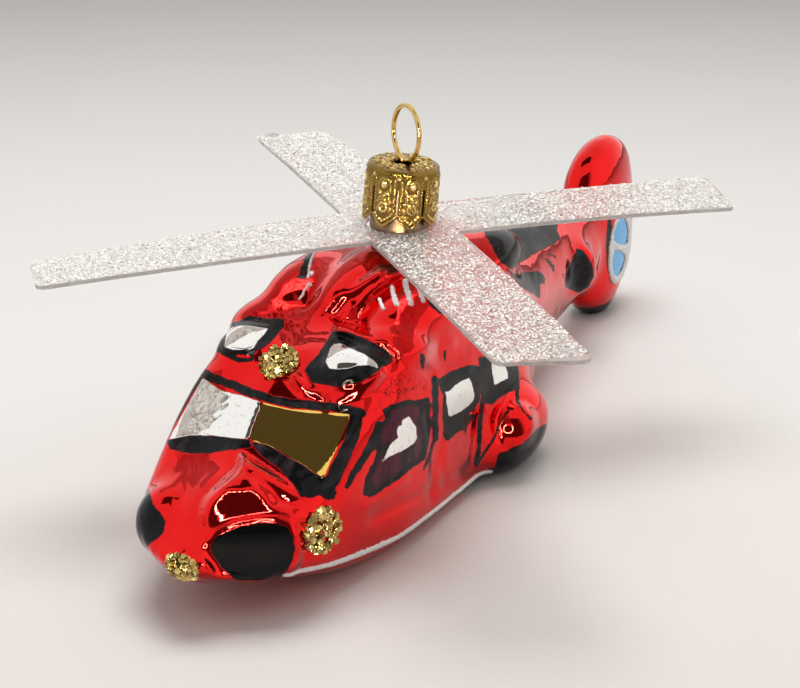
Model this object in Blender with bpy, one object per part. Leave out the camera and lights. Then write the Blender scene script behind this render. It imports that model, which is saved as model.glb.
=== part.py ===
"""Blown-glass Christmas tree ornament in the shape of a helicopter with a shrouded tail rotor.

Metres, +Z up.  The nose points to -Y and the helicopter's own left side (port) is +X.
The origin is on the surface that the ornament stands on, under the glass neck, which is
also the axis that the plastic rotor turns about.
"""
import math

import bmesh
import bpy
from mathutils import Matrix, Vector

MM = 0.001

# Driving dimensions, in millimetres
ROTOR_THICKNESS = 0.9
ROTOR_HUB_TOP = 36.0
ROTOR_DROOP = 1.25
ROTOR_HOLE_RADIUS = 4.6
BLADE_ROOT_HALF_WIDTH = 6.3
BLADE_TIP_HALF_WIDTH = 6.0
BLADE_CORNER = 1.4
# Blades of the hand-cut cross: (direction in degrees, reach, slant of the tip, lift of the leading edge)
BLADES = (
    (-40.6, 49.3, 0.6, -0.35),
    (49.4, 49.9, 0.6, 0.5),
    (139.4, 50.4, -1.4, 0.3),
    (229.4, 50.6, 0.5, 0.5),
)
BLADE_STEPS = 7
SHEET_COLUMNS = 4
HUB_WELD = 0.05

NECK_RADIUS = 4.1
NECK_BORE_RADIUS = 3.2
NECK_TOP = 42.6
NECK_ROOT = 29.0
NECK_BORE_DEPTH = 10.5

CAP_OUTER_RADIUS = 5.25
CAP_WALL = 0.35
CAP_HEIGHT = 7.9
CAP_TABS = 8
CAP_TAB_SHOULDER = 1.5
CAP_SLIT_TOP = 5.3
CAP_SLIT_HALF_WIDTH = math.radians(1.8)
CAP_EDGE_RADIUS = 1.0
CAP_HOLE_HALF_SIDE = 1.35
CAP_TILT = math.radians(4.5)
CAP_TILT_AXIS = (-0.4880, 0.8730, 0.0)
CAP_BASE = 36.7

WIRE_RADIUS = 0.35
RING_RADIUS = 3.75
RING_CENTRE_ABOVE_CAP = 4.1
LEG_GAP = 0.5
LEG_SPREAD = 1.9
LEG_DEPTH = 7.0
LOOP_TURN = math.radians(-34.0)

SEAT_GAP = 0.3
GOLD_DOT_THICKNESS = 0.9
STRIPE_WIDTH = 0.9
STRIPE_THICKNESS = 0.35

GLASS_VOXEL = 0.95
GLASS_FACE_SHARE = 0.22
GLASS_SMOOTHING = 6

# Fuselage and tail boom: (y, half width, underside, widest height, top, lower and upper squareness)
HULL_STATIONS = (
    (-55.4, 1.2, 8.8, 10.3, 11.8, 2.0, 2.0),
    (-54.0, 4.8, 6.9, 10.3, 13.0, 2.0, 2.0),
    (-51.3, 7.8, 5.4, 10.2, 14.2, 2.2, 2.1),
    (-47.0, 10.7, 4.1, 10.0, 15.8, 2.6, 2.4),
    (-42.0, 12.4, 2.4, 9.8, 18.6, 3.3, 3.0),
    (-36.0, 13.5, 0.8, 10.0, 22.8, 4.2, 3.6),
    (-30.0, 14.1, -0.2, 10.4, 26.3, 5.0, 3.7),
    (-24.0, 14.7, -0.5, 10.6, 27.6, 5.8, 3.6),
    (-12.0, 14.9, -0.6, 10.4, 27.6, 6.0, 3.4),
    (4.0, 14.6, -0.6, 10.0, 27.4, 5.4, 2.9),
    (16.0, 13.0, 0.2, 10.4, 27.2, 3.6, 2.6),
    (26.0, 9.8, 1.8, 12.0, 26.6, 2.6, 2.3),
    (38.0, 7.0, 3.6, 14.0, 25.4, 2.2, 2.1),
    (50.0, 5.3, 5.0, 14.0, 23.6, 2.1, 2.0),
    (60.0, 4.5, 5.6, 13.6, 22.4, 2.0, 2.0),
    (66.0, 3.0, 7.0, 13.6, 20.4, 2.0, 2.0),
)
RING_POINTS = 40
STATION_STEPS = 5

# Tail fin: (height, leading edge y, trailing edge y, half thickness, squareness)
FIN_STATIONS = (
    (-0.4, 65.8, 70.6, 1.8, 2.0),
    (0.8, 64.2, 72.4, 2.9, 2.0),
    (4.0, 60.4, 75.2, 4.0, 2.2),
    (9.0, 59.8, 77.8, 4.7, 2.3),
    (16.0, 59.6, 78.6, 4.7, 2.3),
    (22.0, 58.6, 78.4, 4.4, 2.2),
    (26.0, 60.0, 77.4, 3.9, 2.1),
    (28.8, 63.2, 75.0, 2.9, 2.0),
    (30.3, 67.4, 71.6, 1.1, 2.0),
)

# Windscreen: two panes that meet on the centreline
SCREEN_TOP = (0.0, -35.5, 22.4)
SCREEN_NORMAL = (0.166, -0.530, 0.831)

# Rounded masses blown out of the hull: (centre, radii, turn about x in degrees), port side of a pair
CENTRE_MASSES = (
    ("nose ridge", (0.0, -45.0, 10.5), (5.2, 9.0, 6.2), 28.0),
    ("mast fairing", (0.0, 1.0, 27.4), (8.6, 17.0, 6.9), 0.0),
    ("snout", (0.0, -6.8, 28.2), (5.8, 13.2, 6.0), 0.0),
    ("neck shoulder", (0.0, 0.0, 30.0), (6.8, 7.6, 4.4), 0.0),
)
PAIR_MASSES = (
    ("chin lamp", (5.6, -46.6, 9.8), (5.0, 5.7, 5.2), 0.0),
    ("engine cheek", (8.2, -8.2, 27.2), (5.2, 12.6, 5.3), 0.0),
    ("shoulder", (9.2, -19.0, 25.2), (4.9, 7.0, 4.3), 0.0),
    ("exhaust", (7.0, 10.0, 27.6), (4.4, 11.5, 4.6), 0.0),
    ("roof window", (7.6, -26.6, 24.9), (4.4, 4.8, 3.2), 14.0),
    ("wheel pod", (14.5, 6.6, 5.6), (4.4, 8.9, 5.9), 0.0),
    ("stabiliser", (5.0, 50.5, 13.8), (2.8, 3.2, 4.2), 0.0),
)

# Gold glitter dots: (name, point near the glass, outward direction, radius)
GOLD_DOTS = (
    ("gold_glitter_roof", (-0.8, -30.4, 26.6), (0.0, -0.5, 0.87), 2.5),
    ("gold_glitter_chin", (0.9, -54.6, 9.2), (0.0, -0.88, -0.47), 1.8),
    ("gold_glitter_port", (12.4, -41.6, 10.7), (0.93, -0.36, 0.0), 2.8),
    ("gold_glitter_starboard", (-12.9, -38.8, 9.4), (-0.96, -0.28, 0.0), 2.2),
)

# White glitter stripe along the lower side, port: (x, y, z) near the glass
STRIPE_ROUTE = (
    (10.2, -47.2, 6.3),
    (12.1, -41.4, 5.1),
    (13.2, -35.4, 4.2),
    (13.9, -29.0, 3.2),
    (14.3, -22.5, 2.7),
    (14.5, -14.0, 2.4),
    (14.5, -7.0, 2.2),
    (14.3, 0.6, 2.0),
)
STRIPE_STEPS = 28

# Shrouded tail rotor painted on both faces of the fin
FENESTRON_CENTRE = (68.6, 11.9)
FENESTRON_SIDE = 4.8
FENESTRON_RADIUS = 4.5
FENESTRON_STRETCH = 1.4
FENESTRON_RIM = 1.0
FENESTRON_SEGMENTS = 24
FENESTRON_BAR = 1.0

COLOURS = {
    "red lacquer": (0.40, 0.03, 0.035, 1.0),
    "frosted plastic": (0.78, 0.74, 0.71, 1.0),
    "embossed gold": (0.62, 0.40, 0.12, 1.0),
    "gold wire": (0.66, 0.45, 0.16, 1.0),
    "gold glitter": (0.55, 0.37, 0.10, 1.0),
    "white glitter": (0.86, 0.85, 0.84, 1.0),
}


def material(name, metallic, roughness):
    """One Principled material from the colour table."""
    made = bpy.data.materials.get(name) or bpy.data.materials.new(name)
    made.use_nodes = True
    shader = made.node_tree.nodes["Principled BSDF"]
    shader.inputs["Base Color"].default_value = COLOURS[name]
    shader.inputs["Metallic"].default_value = metallic
    shader.inputs["Roughness"].default_value = roughness
    return made


def add_object(name, bm, finish, parent=None):
    """Turns bm into a named object, with smooth faces and its own material."""
    mesh = bpy.data.meshes.new(name)
    bm.to_mesh(mesh)
    bm.free()
    mesh.shade_smooth()
    made = bpy.data.objects.new(name, mesh)
    bpy.context.scene.collection.objects.link(made)
    made.data.materials.append(finish)
    made.parent = parent
    return made


def cutter(name, bm, finish):
    """A helper solid for a Boolean, which the model itself doesn't show."""
    made = add_object(name, bm, finish)
    made.hide_render = True
    made.display_type = "WIRE"
    return made


def boolean(target, tool, operation):
    """Cuts or joins target with tool, exactly."""
    step = target.modifiers.new(tool.name, "BOOLEAN")
    step.operation = operation
    step.solver = "EXACT"
    step.object = tool
    return step


def blend_rows(rows, steps):
    """Rows with smooth in-between rows, through every given one (Catmull-Rom)."""
    made = []
    last = len(rows) - 1
    for i in range(last):
        before, start, end, after = rows[max(i - 1, 0)], rows[i], rows[i + 1], rows[min(i + 2, last)]
        for k in range(steps):
            t = k / steps
            made.append(tuple(
                0.5 * (2 * b + (c - a) * t + (2 * a - 5 * b + 4 * c - d) * t * t
                       + (3 * b - a - 3 * c + d) * t ** 3)
                for a, b, c, d in zip(before, start, end, after)
            ))
    made.append(rows[-1])
    return made


def hull_ring(station):
    """Points round one cross-section: a superellipse, with its own lower and upper half."""
    y, half_width, low, mid, high, low_power, high_power = station
    points = []
    for k in range(RING_POINTS):
        angle = 2 * math.pi * k / RING_POINTS
        across, up = math.cos(angle), math.sin(angle)
        power, reach = (high_power, high - mid) if up >= 0 else (low_power, mid - low)
        x = half_width * math.copysign(abs(across) ** (2 / power), across)
        z = mid + reach * math.copysign(abs(up) ** (2 / power), up)
        points.append(Vector((x, y, z)) * MM)
    return points


def loft(bm, rings):
    """Skins a list of rings of points and closes both ends."""
    loops = [[bm.verts.new(p) for p in ring] for ring in rings]
    count = len(loops[0])
    for near, far in zip(loops, loops[1:]):
        for k in range(count):
            n = (k + 1) % count
            bm.faces.new((near[k], near[n], far[n], far[k]))
    bm.faces.new(loops[0][::-1])
    bm.faces.new(loops[-1])


def fin_ring(station):
    """Points round the fin at one height."""
    z, front, back, half_thickness, power = station
    middle, half_chord = (front + back) / 2, (back - front) / 2
    points = []
    for k in range(RING_POINTS):
        angle = 2 * math.pi * k / RING_POINTS
        across, along = math.cos(angle), math.sin(angle)
        x = half_thickness * math.copysign(abs(across) ** (2 / power), across)
        y = middle + half_chord * math.copysign(abs(along) ** (2 / power), along)
        points.append(Vector((x, y, z)) * MM)
    return points


def cut_screen(bm, side):
    """Slices one flat windscreen pane off the front of the hull."""
    x, y, z = SCREEN_NORMAL
    result = bmesh.ops.bisect_plane(
        bm, geom=bm.verts[:] + bm.edges[:] + bm.faces[:], dist=1e-7,
        plane_co=Vector(SCREEN_TOP) * MM, plane_no=Vector((side * x, y, z)), clear_outer=True,
    )
    rim = [e for e in result["geom_cut"] if isinstance(e, bmesh.types.BMEdge)]
    bmesh.ops.holes_fill(bm, edges=rim, sides=0)


def hull():
    """Fuselage and tail boom in one skin, with the two flat panes of the windscreen, and the fin."""
    bm = bmesh.new()
    loft(bm, [hull_ring(s) for s in blend_rows(HULL_STATIONS, STATION_STEPS)])
    bmesh.ops.recalc_face_normals(bm, faces=bm.faces[:])
    for side in (1, -1):
        cut_screen(bm, side)
    loft(bm, [fin_ring(s) for s in blend_rows(FIN_STATIONS, STATION_STEPS)])
    return bm


def add_mass(bm, centre, radii, turn, side=1):
    """One rounded mass: a sphere stretched to its radii and turned about x."""
    place = (
        Matrix.Translation(Vector((side * centre[0], centre[1], centre[2])) * MM)
        @ Matrix.Rotation(math.radians(turn), 4, "X")
        @ Matrix.Diagonal(Vector((*radii, 1.0 / MM)) * MM)
    )
    bmesh.ops.create_uvsphere(bm, u_segments=32, v_segments=20, radius=1.0, matrix=place)


def cylinder(radius, low, high, segments=48):
    """A capped cylinder round the neck's axis."""
    bm = bmesh.new()
    bmesh.ops.create_cone(
        bm, cap_ends=True, segments=segments, radius1=radius * MM, radius2=radius * MM,
        depth=(high - low) * MM, matrix=Matrix.Translation((0, 0, (high + low) / 2 * MM)),
    )
    return bm


def block(low, high):
    """A box between two corners."""
    bm = bmesh.new()
    size = [b - a for a, b in zip(low, high)]
    middle = [(a + b) / 2 for a, b in zip(low, high)]
    bmesh.ops.create_cube(
        bm, size=1.0,
        matrix=Matrix.Translation(Vector(middle) * MM) @ Matrix.Diagonal(Vector((*size, 1.0 / MM)) * MM),
    )
    return bm


def glass_body():
    """The blown glass: hull, cowling, pods, boom and fin in one skin, with its open neck."""
    bm = hull()
    for _, centre, radii, turn in CENTRE_MASSES:
        add_mass(bm, centre, radii, turn)
    for _, centre, radii, turn in PAIR_MASSES:
        for side in (1, -1):
            add_mass(bm, centre, radii, turn, side)
    lacquer = material("red lacquer", 0.9, 0.12)
    body = add_object("glass_body", bm, lacquer)

    skin = body.modifiers.new("one skin", "REMESH")
    skin.mode = "VOXEL"
    skin.voxel_size = GLASS_VOXEL * MM
    skin.use_smooth_shade = True
    soften = body.modifiers.new("soft junctions", "SMOOTH")
    soften.factor = 0.5
    soften.iterations = GLASS_SMOOTHING
    fewer = body.modifiers.new("fewer faces", "DECIMATE")
    fewer.ratio = GLASS_FACE_SHARE

    neck = cutter("neck tool", cylinder(NECK_RADIUS, NECK_ROOT, NECK_TOP), lacquer)
    bore = cutter(
        "neck bore tool", cylinder(NECK_BORE_RADIUS, NECK_TOP - NECK_BORE_DEPTH, NECK_TOP + 5.0), lacquer)
    floor = cutter("standing face tool", block((-40, -80, -10), (40, 100, 0)), lacquer)
    boolean(body, neck, "UNION")
    boolean(body, bore, "DIFFERENCE")
    boolean(body, floor, "DIFFERENCE")
    return body


def sheet_point(bm, along, across, blade):
    """One point of the rotor's sheet, which droops and twists a little towards the tips."""
    turn, lift = math.radians(blade[0]), blade[3]
    share = along / blade[1]
    leading = across / BLADE_TIP_HALF_WIDTH
    z = ROTOR_HUB_TOP - ROTOR_DROOP * share ** 2 + lift * leading * share ** 2
    x = along * math.cos(turn) - across * math.sin(turn)
    y = along * math.sin(turn) + across * math.cos(turn)
    return bm.verts.new(Vector((x, y, z)) * MM)


def blade_sheet(bm, blade):
    """Adds one blade, from the hub square's side to its rounded tip, as rows across it."""
    reach, slant = blade[1], blade[2]
    root = BLADE_ROOT_HALF_WIDTH
    shares = [k / BLADE_STEPS for k in range(BLADE_STEPS)]
    corner_shares = [1.0 - BLADE_CORNER / reach * (1.0 - math.sin(math.radians(a))) for a in (0, 30, 60, 90)]
    rows = []
    for share in shares + corner_shares:
        from_tip = (1.0 - share) * reach
        half = root + (BLADE_TIP_HALF_WIDTH - root) * share
        if from_tip < BLADE_CORNER:
            inside = BLADE_CORNER - from_tip
            half -= BLADE_CORNER - math.sqrt(BLADE_CORNER ** 2 - inside ** 2)
        row = []
        for k in range(SHEET_COLUMNS + 1):
            leading = 2.0 * k / SHEET_COLUMNS - 1.0
            along = root + (reach + slant * leading - root) * share
            row.append(sheet_point(bm, along, half * leading, blade))
        rows.append(row)
    for low, high in zip(rows, rows[1:]):
        for k in range(SHEET_COLUMNS):
            bm.faces.new((low[k], high[k], high[k + 1], low[k + 1]))
    return rows[0]


def rotor():
    """The four-blade cross, cut from one sheet of frosted plastic, with its hole over the neck."""
    bm = bmesh.new()
    rim = []
    for blade in BLADES:
        rim += blade_sheet(bm, blade)
    middle = bm.verts.new(Vector((0, 0, ROTOR_HUB_TOP)) * MM)
    for k in range(len(rim)):
        if k % (SHEET_COLUMNS + 1) != SHEET_COLUMNS:
            bm.faces.new((rim[k], rim[k + 1], middle))
    bmesh.ops.remove_doubles(bm, verts=bm.verts[:], dist=HUB_WELD * MM)
    bmesh.ops.recalc_face_normals(bm, faces=bm.faces[:])
    plastic = material("frosted plastic", 0.0, 0.55)
    cross = add_object("rotor", bm, plastic)
    thicken = cross.modifiers.new("sheet", "SOLIDIFY")
    thicken.thickness = ROTOR_THICKNESS * MM
    thicken.offset = -1.0
    hole = cutter(
        "rotor hole tool", cylinder(ROTOR_HOLE_RADIUS, ROTOR_HUB_TOP - 4.0, ROTOR_HUB_TOP + 3.0), plastic)
    boolean(cross, hole, "DIFFERENCE")
    return cross


def cap_frame():
    """Where the cap and its wire sit: over the neck, leaning a little to one side."""
    frame = bpy.data.objects.new("cap frame", None)
    bpy.context.scene.collection.objects.link(frame)
    frame.matrix_world = (
        Matrix.Translation((0, 0, CAP_BASE * MM)) @ Matrix.Rotation(CAP_TILT, 4, Vector(CAP_TILT_AXIS))
    )
    return frame


def cap_columns():
    """Angles round the cap, each with the height of the rim there: pointed tabs with slits between."""
    pitch = 2 * math.pi / CAP_TABS
    half = pitch / 2 - CAP_SLIT_HALF_WIDTH
    columns = []
    for tab in range(CAP_TABS):
        middle = pitch * tab
        for share in (-1.0, -0.66, -0.33, 0.0, 0.33, 0.66, 1.0):
            columns.append((middle + share * half, CAP_TAB_SHOULDER * abs(share) ** 1.3))
        edge = middle + pitch / 2
        columns.append((edge - CAP_SLIT_HALF_WIDTH * 0.8, CAP_SLIT_TOP))
        columns.append((edge + CAP_SLIT_HALF_WIDTH * 0.8, CAP_SLIT_TOP))
    return columns


def cap_profile(outer):
    """(inset, height) steps from the tabs' slit tops to the middle of the top."""
    inset = 0.0 if outer else CAP_WALL
    top = CAP_HEIGHT - inset
    bend = CAP_EDGE_RADIUS - inset
    steps = []
    for k in range(4):
        angle = math.radians(30.0 * k)
        steps.append((inset + bend * (1 - math.cos(angle)), top - bend * (1 - math.sin(angle))))
    return steps


def cap(frame):
    """The embossed metal crown: eight pointed tabs and a flat top with a square hole."""
    bm = bmesh.new()
    columns = cap_columns()
    grids = []
    for outer in (True, False):
        inset = 0.0 if outer else CAP_WALL
        rows = []
        for angle, rim in columns:
            column = []
            levels = [(inset, rim), (inset, max(rim, CAP_TAB_SHOULDER + 0.2)), (inset, max(rim, CAP_SLIT_TOP) + 0.3)]
            for depth, z in levels + cap_profile(outer):
                r = CAP_OUTER_RADIUS - depth
                column.append(bm.verts.new(Vector((r * math.cos(angle), r * math.sin(angle), z)) * MM))
            rows.append(column)
        grids.append(rows)
    outer_grid, inner_grid = grids
    count = len(columns)
    for i in range(count):
        n = (i + 1) % count
        for k in range(len(outer_grid[0]) - 1):
            a, b = outer_grid[i], outer_grid[n]
            bm.faces.new((a[k], b[k], b[k + 1], a[k + 1]))
            a, b = inner_grid[i], inner_grid[n]
            bm.faces.new((a[k + 1], b[k + 1], b[k], a[k]))
        bm.faces.new((inner_grid[i][0], inner_grid[n][0], outer_grid[n][0], outer_grid[i][0]))
    bm.faces.new([column[-1] for column in outer_grid])
    bm.faces.new([column[-1] for column in inner_grid][::-1])
    bmesh.ops.remove_doubles(bm, verts=bm.verts[:], dist=1e-7)
    bmesh.ops.recalc_face_normals(bm, faces=bm.faces[:])
    gold = material("embossed gold", 1.0, 0.3)
    crown = add_object("cap", bm, gold, frame)
    side = CAP_HOLE_HALF_SIDE
    hole = cutter("cap hole tool", block((-side, -side, CAP_HEIGHT - 3.0), (side, side, CAP_HEIGHT + 3.0)), gold)
    hole.parent = frame
    boolean(crown, hole, "DIFFERENCE")
    return crown


def hanger_route():
    """One bent wire: a leg, the ring and the other leg, in its own plane."""
    bottom = math.asin(LEG_GAP / RING_RADIUS)
    centre = CAP_HEIGHT + RING_CENTRE_ABOVE_CAP
    ring = []
    for k in range(29):
        angle = -math.pi / 2 - bottom - (2 * math.pi - 2 * bottom) * k / 28
        ring.append((RING_RADIUS * math.cos(angle), centre + RING_RADIUS * math.sin(angle)))
    inside = CAP_HEIGHT - CAP_WALL
    legs = [(LEG_GAP, inside + 0.2), (LEG_GAP + 0.15, inside - 1.2), (LEG_SPREAD * 0.6, inside - 3.6),
            (LEG_SPREAD, inside - LEG_DEPTH)]
    return [(-x, z) for x, z in legs[::-1]] + ring + legs


def hanger_loop(frame):
    """The gold wire that the ornament hangs by, with its two legs through the cap."""
    curve = bpy.data.curves.new("hanger_loop", "CURVE")
    curve.dimensions = "3D"
    curve.bevel_depth = WIRE_RADIUS * MM
    curve.bevel_resolution = 1
    curve.use_fill_caps = True
    route = hanger_route()
    spline = curve.splines.new("POLY")
    spline.points.add(len(route) - 1)
    for point, (x, z) in zip(spline.points, route):
        place = Vector((x * math.cos(LOOP_TURN), x * math.sin(LOOP_TURN), z)) * MM
        point.co = (*place, 1.0)
    loop = bpy.data.objects.new("hanger_loop", curve)
    bpy.context.scene.collection.objects.link(loop)
    loop.data.materials.append(material("gold wire", 1.0, 0.2))
    loop.parent = frame
    return loop


def lay_on_glass(piece, glass, thickness):
    """Moves a flat piece onto the glass, at the seat gap, and thickens it outwards."""
    drape = piece.modifiers.new("on the glass", "SHRINKWRAP")
    drape.target = glass
    drape.wrap_method = "NEAREST_SURFACEPOINT"
    drape.wrap_mode = "OUTSIDE_SURFACE"
    drape.offset = SEAT_GAP * MM
    thicken = piece.modifiers.new("thickness", "SOLIDIFY")
    thicken.thickness = thickness * MM
    thicken.offset = 1.0


def gold_dot(name, point, outward, radius, glass):
    """A round patch of gold glitter on the glass."""
    bm = bmesh.new()
    bmesh.ops.create_circle(bm, cap_ends=True, cap_tris=True, segments=16, radius=radius * MM)
    spokes = [e for e in bm.edges if not e.is_boundary]
    bmesh.ops.subdivide_edges(bm, edges=spokes, cuts=1, use_grid_fill=True)
    dot = add_object(name, bm, material("gold glitter", 0.9, 0.35))
    turn = Vector(outward).to_track_quat("Z", "Y").to_matrix().to_4x4()
    dot.matrix_world = Matrix.Translation(Vector(point) * MM) @ turn
    lay_on_glass(dot, glass, GOLD_DOT_THICKNESS)
    return dot


def ribbon(route, width, steps):
    """A flat strip along a smooth route, standing up on its edge, beside the glass."""
    bm = bmesh.new()
    rows = blend_rows(route, max(1, steps // (len(route) - 1)))
    pairs = []
    for x, y, z in rows:
        low = bm.verts.new(Vector((x, y, z - width / 2)) * MM)
        high = bm.verts.new(Vector((x, y, z + width / 2)) * MM)
        pairs.append((low, high))
    for (a, b), (c, d) in zip(pairs, pairs[1:]):
        bm.faces.new((a, c, d, b))
    return bm


def glitter_stripe(name, side, glass):
    """The white glitter stripe along one lower side of the hull."""
    route = [(side * x, y, z) for x, y, z in STRIPE_ROUTE]
    bm = ribbon(route, STRIPE_WIDTH, STRIPE_STEPS)
    if side < 0:
        bmesh.ops.reverse_faces(bm, faces=bm.faces[:])
    stripe = add_object(name, bm, material("white glitter", 0.1, 0.6))
    lay_on_glass(stripe, glass, STRIPE_THICKNESS)
    return stripe


def fenestron_ring(name, side, glass):
    """The white glitter rim and the bar across the shrouded tail rotor, on one face of the fin."""
    bm = bmesh.new()
    inner = FENESTRON_RADIUS - FENESTRON_RIM
    rim = []
    for k in range(FENESTRON_SEGMENTS):
        angle = 2 * math.pi * (k + 0.5) / FENESTRON_SEGMENTS
        rim.append([bm.verts.new(Vector((r * math.cos(angle), r * math.sin(angle), 0)) * MM)
                    for r in (inner, FENESTRON_RADIUS)])
    for k in range(FENESTRON_SEGMENTS):
        n = (k + 1) % FENESTRON_SEGMENTS
        bm.faces.new((rim[k][0], rim[k][1], rim[n][1], rim[n][0]))
    half = FENESTRON_SEGMENTS // 2
    bar = [bm.verts.new(Vector((x, y * FENESTRON_BAR / 2, 0)) * MM) for x in (-1.2, 1.2) for y in (-1, 1)]
    bm.faces.new((bar[0], bar[2], bar[3], bar[1]))
    bm.faces.new((bar[3], bar[2], rim[-1][0], rim[0][0]))
    bm.faces.new((bar[0], bar[1], rim[half - 1][0], rim[half][0]))
    ring = add_object(name, bm, material("white glitter", 0.1, 0.6))
    outward = Vector((side, 0, 0))
    y, z = FENESTRON_CENTRE
    turn = outward.to_track_quat("Z", "Y").to_matrix().to_4x4()
    tall = Matrix.Diagonal(Vector((1, FENESTRON_STRETCH, 1, 1)))
    ring.matrix_world = Matrix.Translation(Vector((side * FENESTRON_SIDE, y, z)) * MM) @ turn @ tall
    lay_on_glass(ring, glass, STRIPE_THICKNESS)
    return ring


def build():
    """Makes the ornament."""
    for old in list(bpy.data.objects):
        bpy.data.objects.remove(old)
    glass = glass_body()
    rotor()
    frame = cap_frame()
    cap(frame)
    hanger_loop(frame)
    for name, point, outward, radius in GOLD_DOTS:
        gold_dot(name, point, outward, radius, glass)
    for word, side in (("port", 1), ("starboard", -1)):
        glitter_stripe("glitter_stripe_" + word, side, glass)
        fenestron_ring("fenestron_ring_" + word, side, glass)
    bpy.context.view_layer.update()


build()
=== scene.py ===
"""Looks of a blown-glass helicopter ornament: painted glass, glitter rotor, gold cap, wire loop.

Metres, +Z up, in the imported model's own frame.  The nose points to -Y and port is +X.
"""
import math
import random

import bmesh
import bpy
import numpy as np
from bpy.props import FloatProperty, FloatVectorProperty, IntProperty, PointerProperty
from bpy.types import Operator, Panel, PropertyGroup
from mathutils import Matrix, Vector, noise
from mathutils.bvhtree import BVHTree


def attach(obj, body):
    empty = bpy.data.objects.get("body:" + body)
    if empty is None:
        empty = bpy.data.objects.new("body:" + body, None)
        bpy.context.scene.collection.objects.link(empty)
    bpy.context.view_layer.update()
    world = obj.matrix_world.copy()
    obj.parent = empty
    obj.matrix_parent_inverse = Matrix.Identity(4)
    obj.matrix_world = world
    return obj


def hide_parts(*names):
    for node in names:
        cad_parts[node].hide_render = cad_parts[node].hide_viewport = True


bl_info = {
    "name": "Glass helicopter ornament",
    "version": (1, 0, 0),
    "blender": (4, 5, 0),
    "location": "3D View > Sidebar > Ornament",
    "description": "Builds the looks of a painted blown-glass helicopter on its packed model",
    "category": "Add Mesh",
}

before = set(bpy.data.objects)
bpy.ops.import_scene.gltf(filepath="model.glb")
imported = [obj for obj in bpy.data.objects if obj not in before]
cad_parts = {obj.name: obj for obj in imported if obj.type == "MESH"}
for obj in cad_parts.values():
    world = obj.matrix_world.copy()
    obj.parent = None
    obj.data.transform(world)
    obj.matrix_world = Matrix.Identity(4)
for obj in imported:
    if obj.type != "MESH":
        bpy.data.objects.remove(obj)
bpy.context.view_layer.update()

MM = 0.001

# Camera that sees the ornament as the photograph does, its place in metres, the photograph's
# size in pixels and the focal length in pixels
CAMERA_PLACE = Vector((0.1248, -0.2231, 0.1232))
CAMERA_RIGHT = Vector((0.8729, 0.4879, 0.0)).normalized()
CAMERA_FORWARD = Vector((-0.451, 0.807, -0.381)).normalized()
CAMERA_UP = CAMERA_RIGHT.cross(CAMERA_FORWARD)
CAMERA_LENS = 88.2
CAMERA_SENSOR = 36.0
PHOTO_SIZE = (800, 688)
CAMERA_FOCAL = CAMERA_LENS / CAMERA_SENSOR * PHOTO_SIZE[0]

# Light tent: azimuths in degrees from the nose towards port, and openings as slopes
OPENING_AZIMUTH = 35.0
OPENING_WIDTH = 1.05
OPENING_HEIGHT = 1.43
SLOT_AZIMUTH = 110.0
SLOT_MIDDLE = -0.16
SLOT_HALF_LENGTH = 0.36
SLOT_HALF_WIDTH = 0.15
TENT_WALLS = ((0.96, 0.95, 0.935), (1.12, 1.10, 1.07))
TENT_ROOF = (0.94, 0.93, 0.91)
SLOT_TONE = (0.075, 0.068, 0.06)
ROOM_TONE = (0.105, 0.09, 0.085)
# Panel above, ring of small lamps round the lens, and the surface, in metres and watts
PANEL_PLACE = (-0.05, 0.09, 0.48)
PANEL_SIZE = (0.32, 0.24)
PANEL_POWER = 2.4
RING_LAMPS = 40
RING_LAMP_RADIUS = 0.062
RING_LAMP_SIZE = 0.0033
RING_LAMP_GLOW = 300.0
RING_LAMP_TONE = (1.0, 0.86, 0.62)
FLOOR_HALF_SIZE = 8.0
# How far behind the neck a place lies, from x and y, and the surface's painted shade over a span of
# it:
# darker in front of the ornament and far behind it, standing in for how the light falls off
FLOOR_DEPTH_WAY = (0.488, 0.873)
FLOOR_DEPTHS = (-0.10, 0.40)
FLOOR_PAINTED_SHADE = (
    (0.0, (0.50, 0.468, 0.452)),
    (0.14, (0.53, 0.502, 0.486)),
    (0.28, (0.515, 0.505, 0.49)),
    (0.46, (0.46, 0.45, 0.438)),
    (0.62, (0.385, 0.377, 0.365)),
    (0.81, (0.285, 0.277, 0.262)),
    (1.0, (0.232, 0.225, 0.212)),
)
FLOOR_MOTTLE = (0.7, 0.68, 0.66)

# Second colours that wear, dirt, thickness and painted light mix with the settings' own:
# painted shade in the glass's folds, on the neck and in the cap's low places, a painted sheen in
# the black's streaks, and a painted highlight with the wear on the cap's high places
# Painted shade: dark red lines in the folds of the wrinkled glass
FOLD_SHADE_RED = (0.13, 0.004, 0.006)
WINE_RED = (0.085, 0.008, 0.022)
# Brush streaks in the black paint, made lighter as a painted sheen
STREAK_SHEEN_BLACK = (0.024, 0.018, 0.022)
DULL_SILVER = (0.58, 0.565, 0.53)
# Tarnish with painted shade: the neck darkened to a dark gold where it sits under the cap
NECK_TARNISH_AND_SHADE = ((0.34, 0.24, 0.15), (0.22, 0.15, 0.09))
CLOUDED_PLASTIC = (0.80, 0.775, 0.745)
PATINA_GOLD = (0.42, 0.27, 0.07)
# Painted shade on the low places of the cap's embossing
HOLLOW_SHADE_GOLD = (0.24, 0.145, 0.03)
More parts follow.
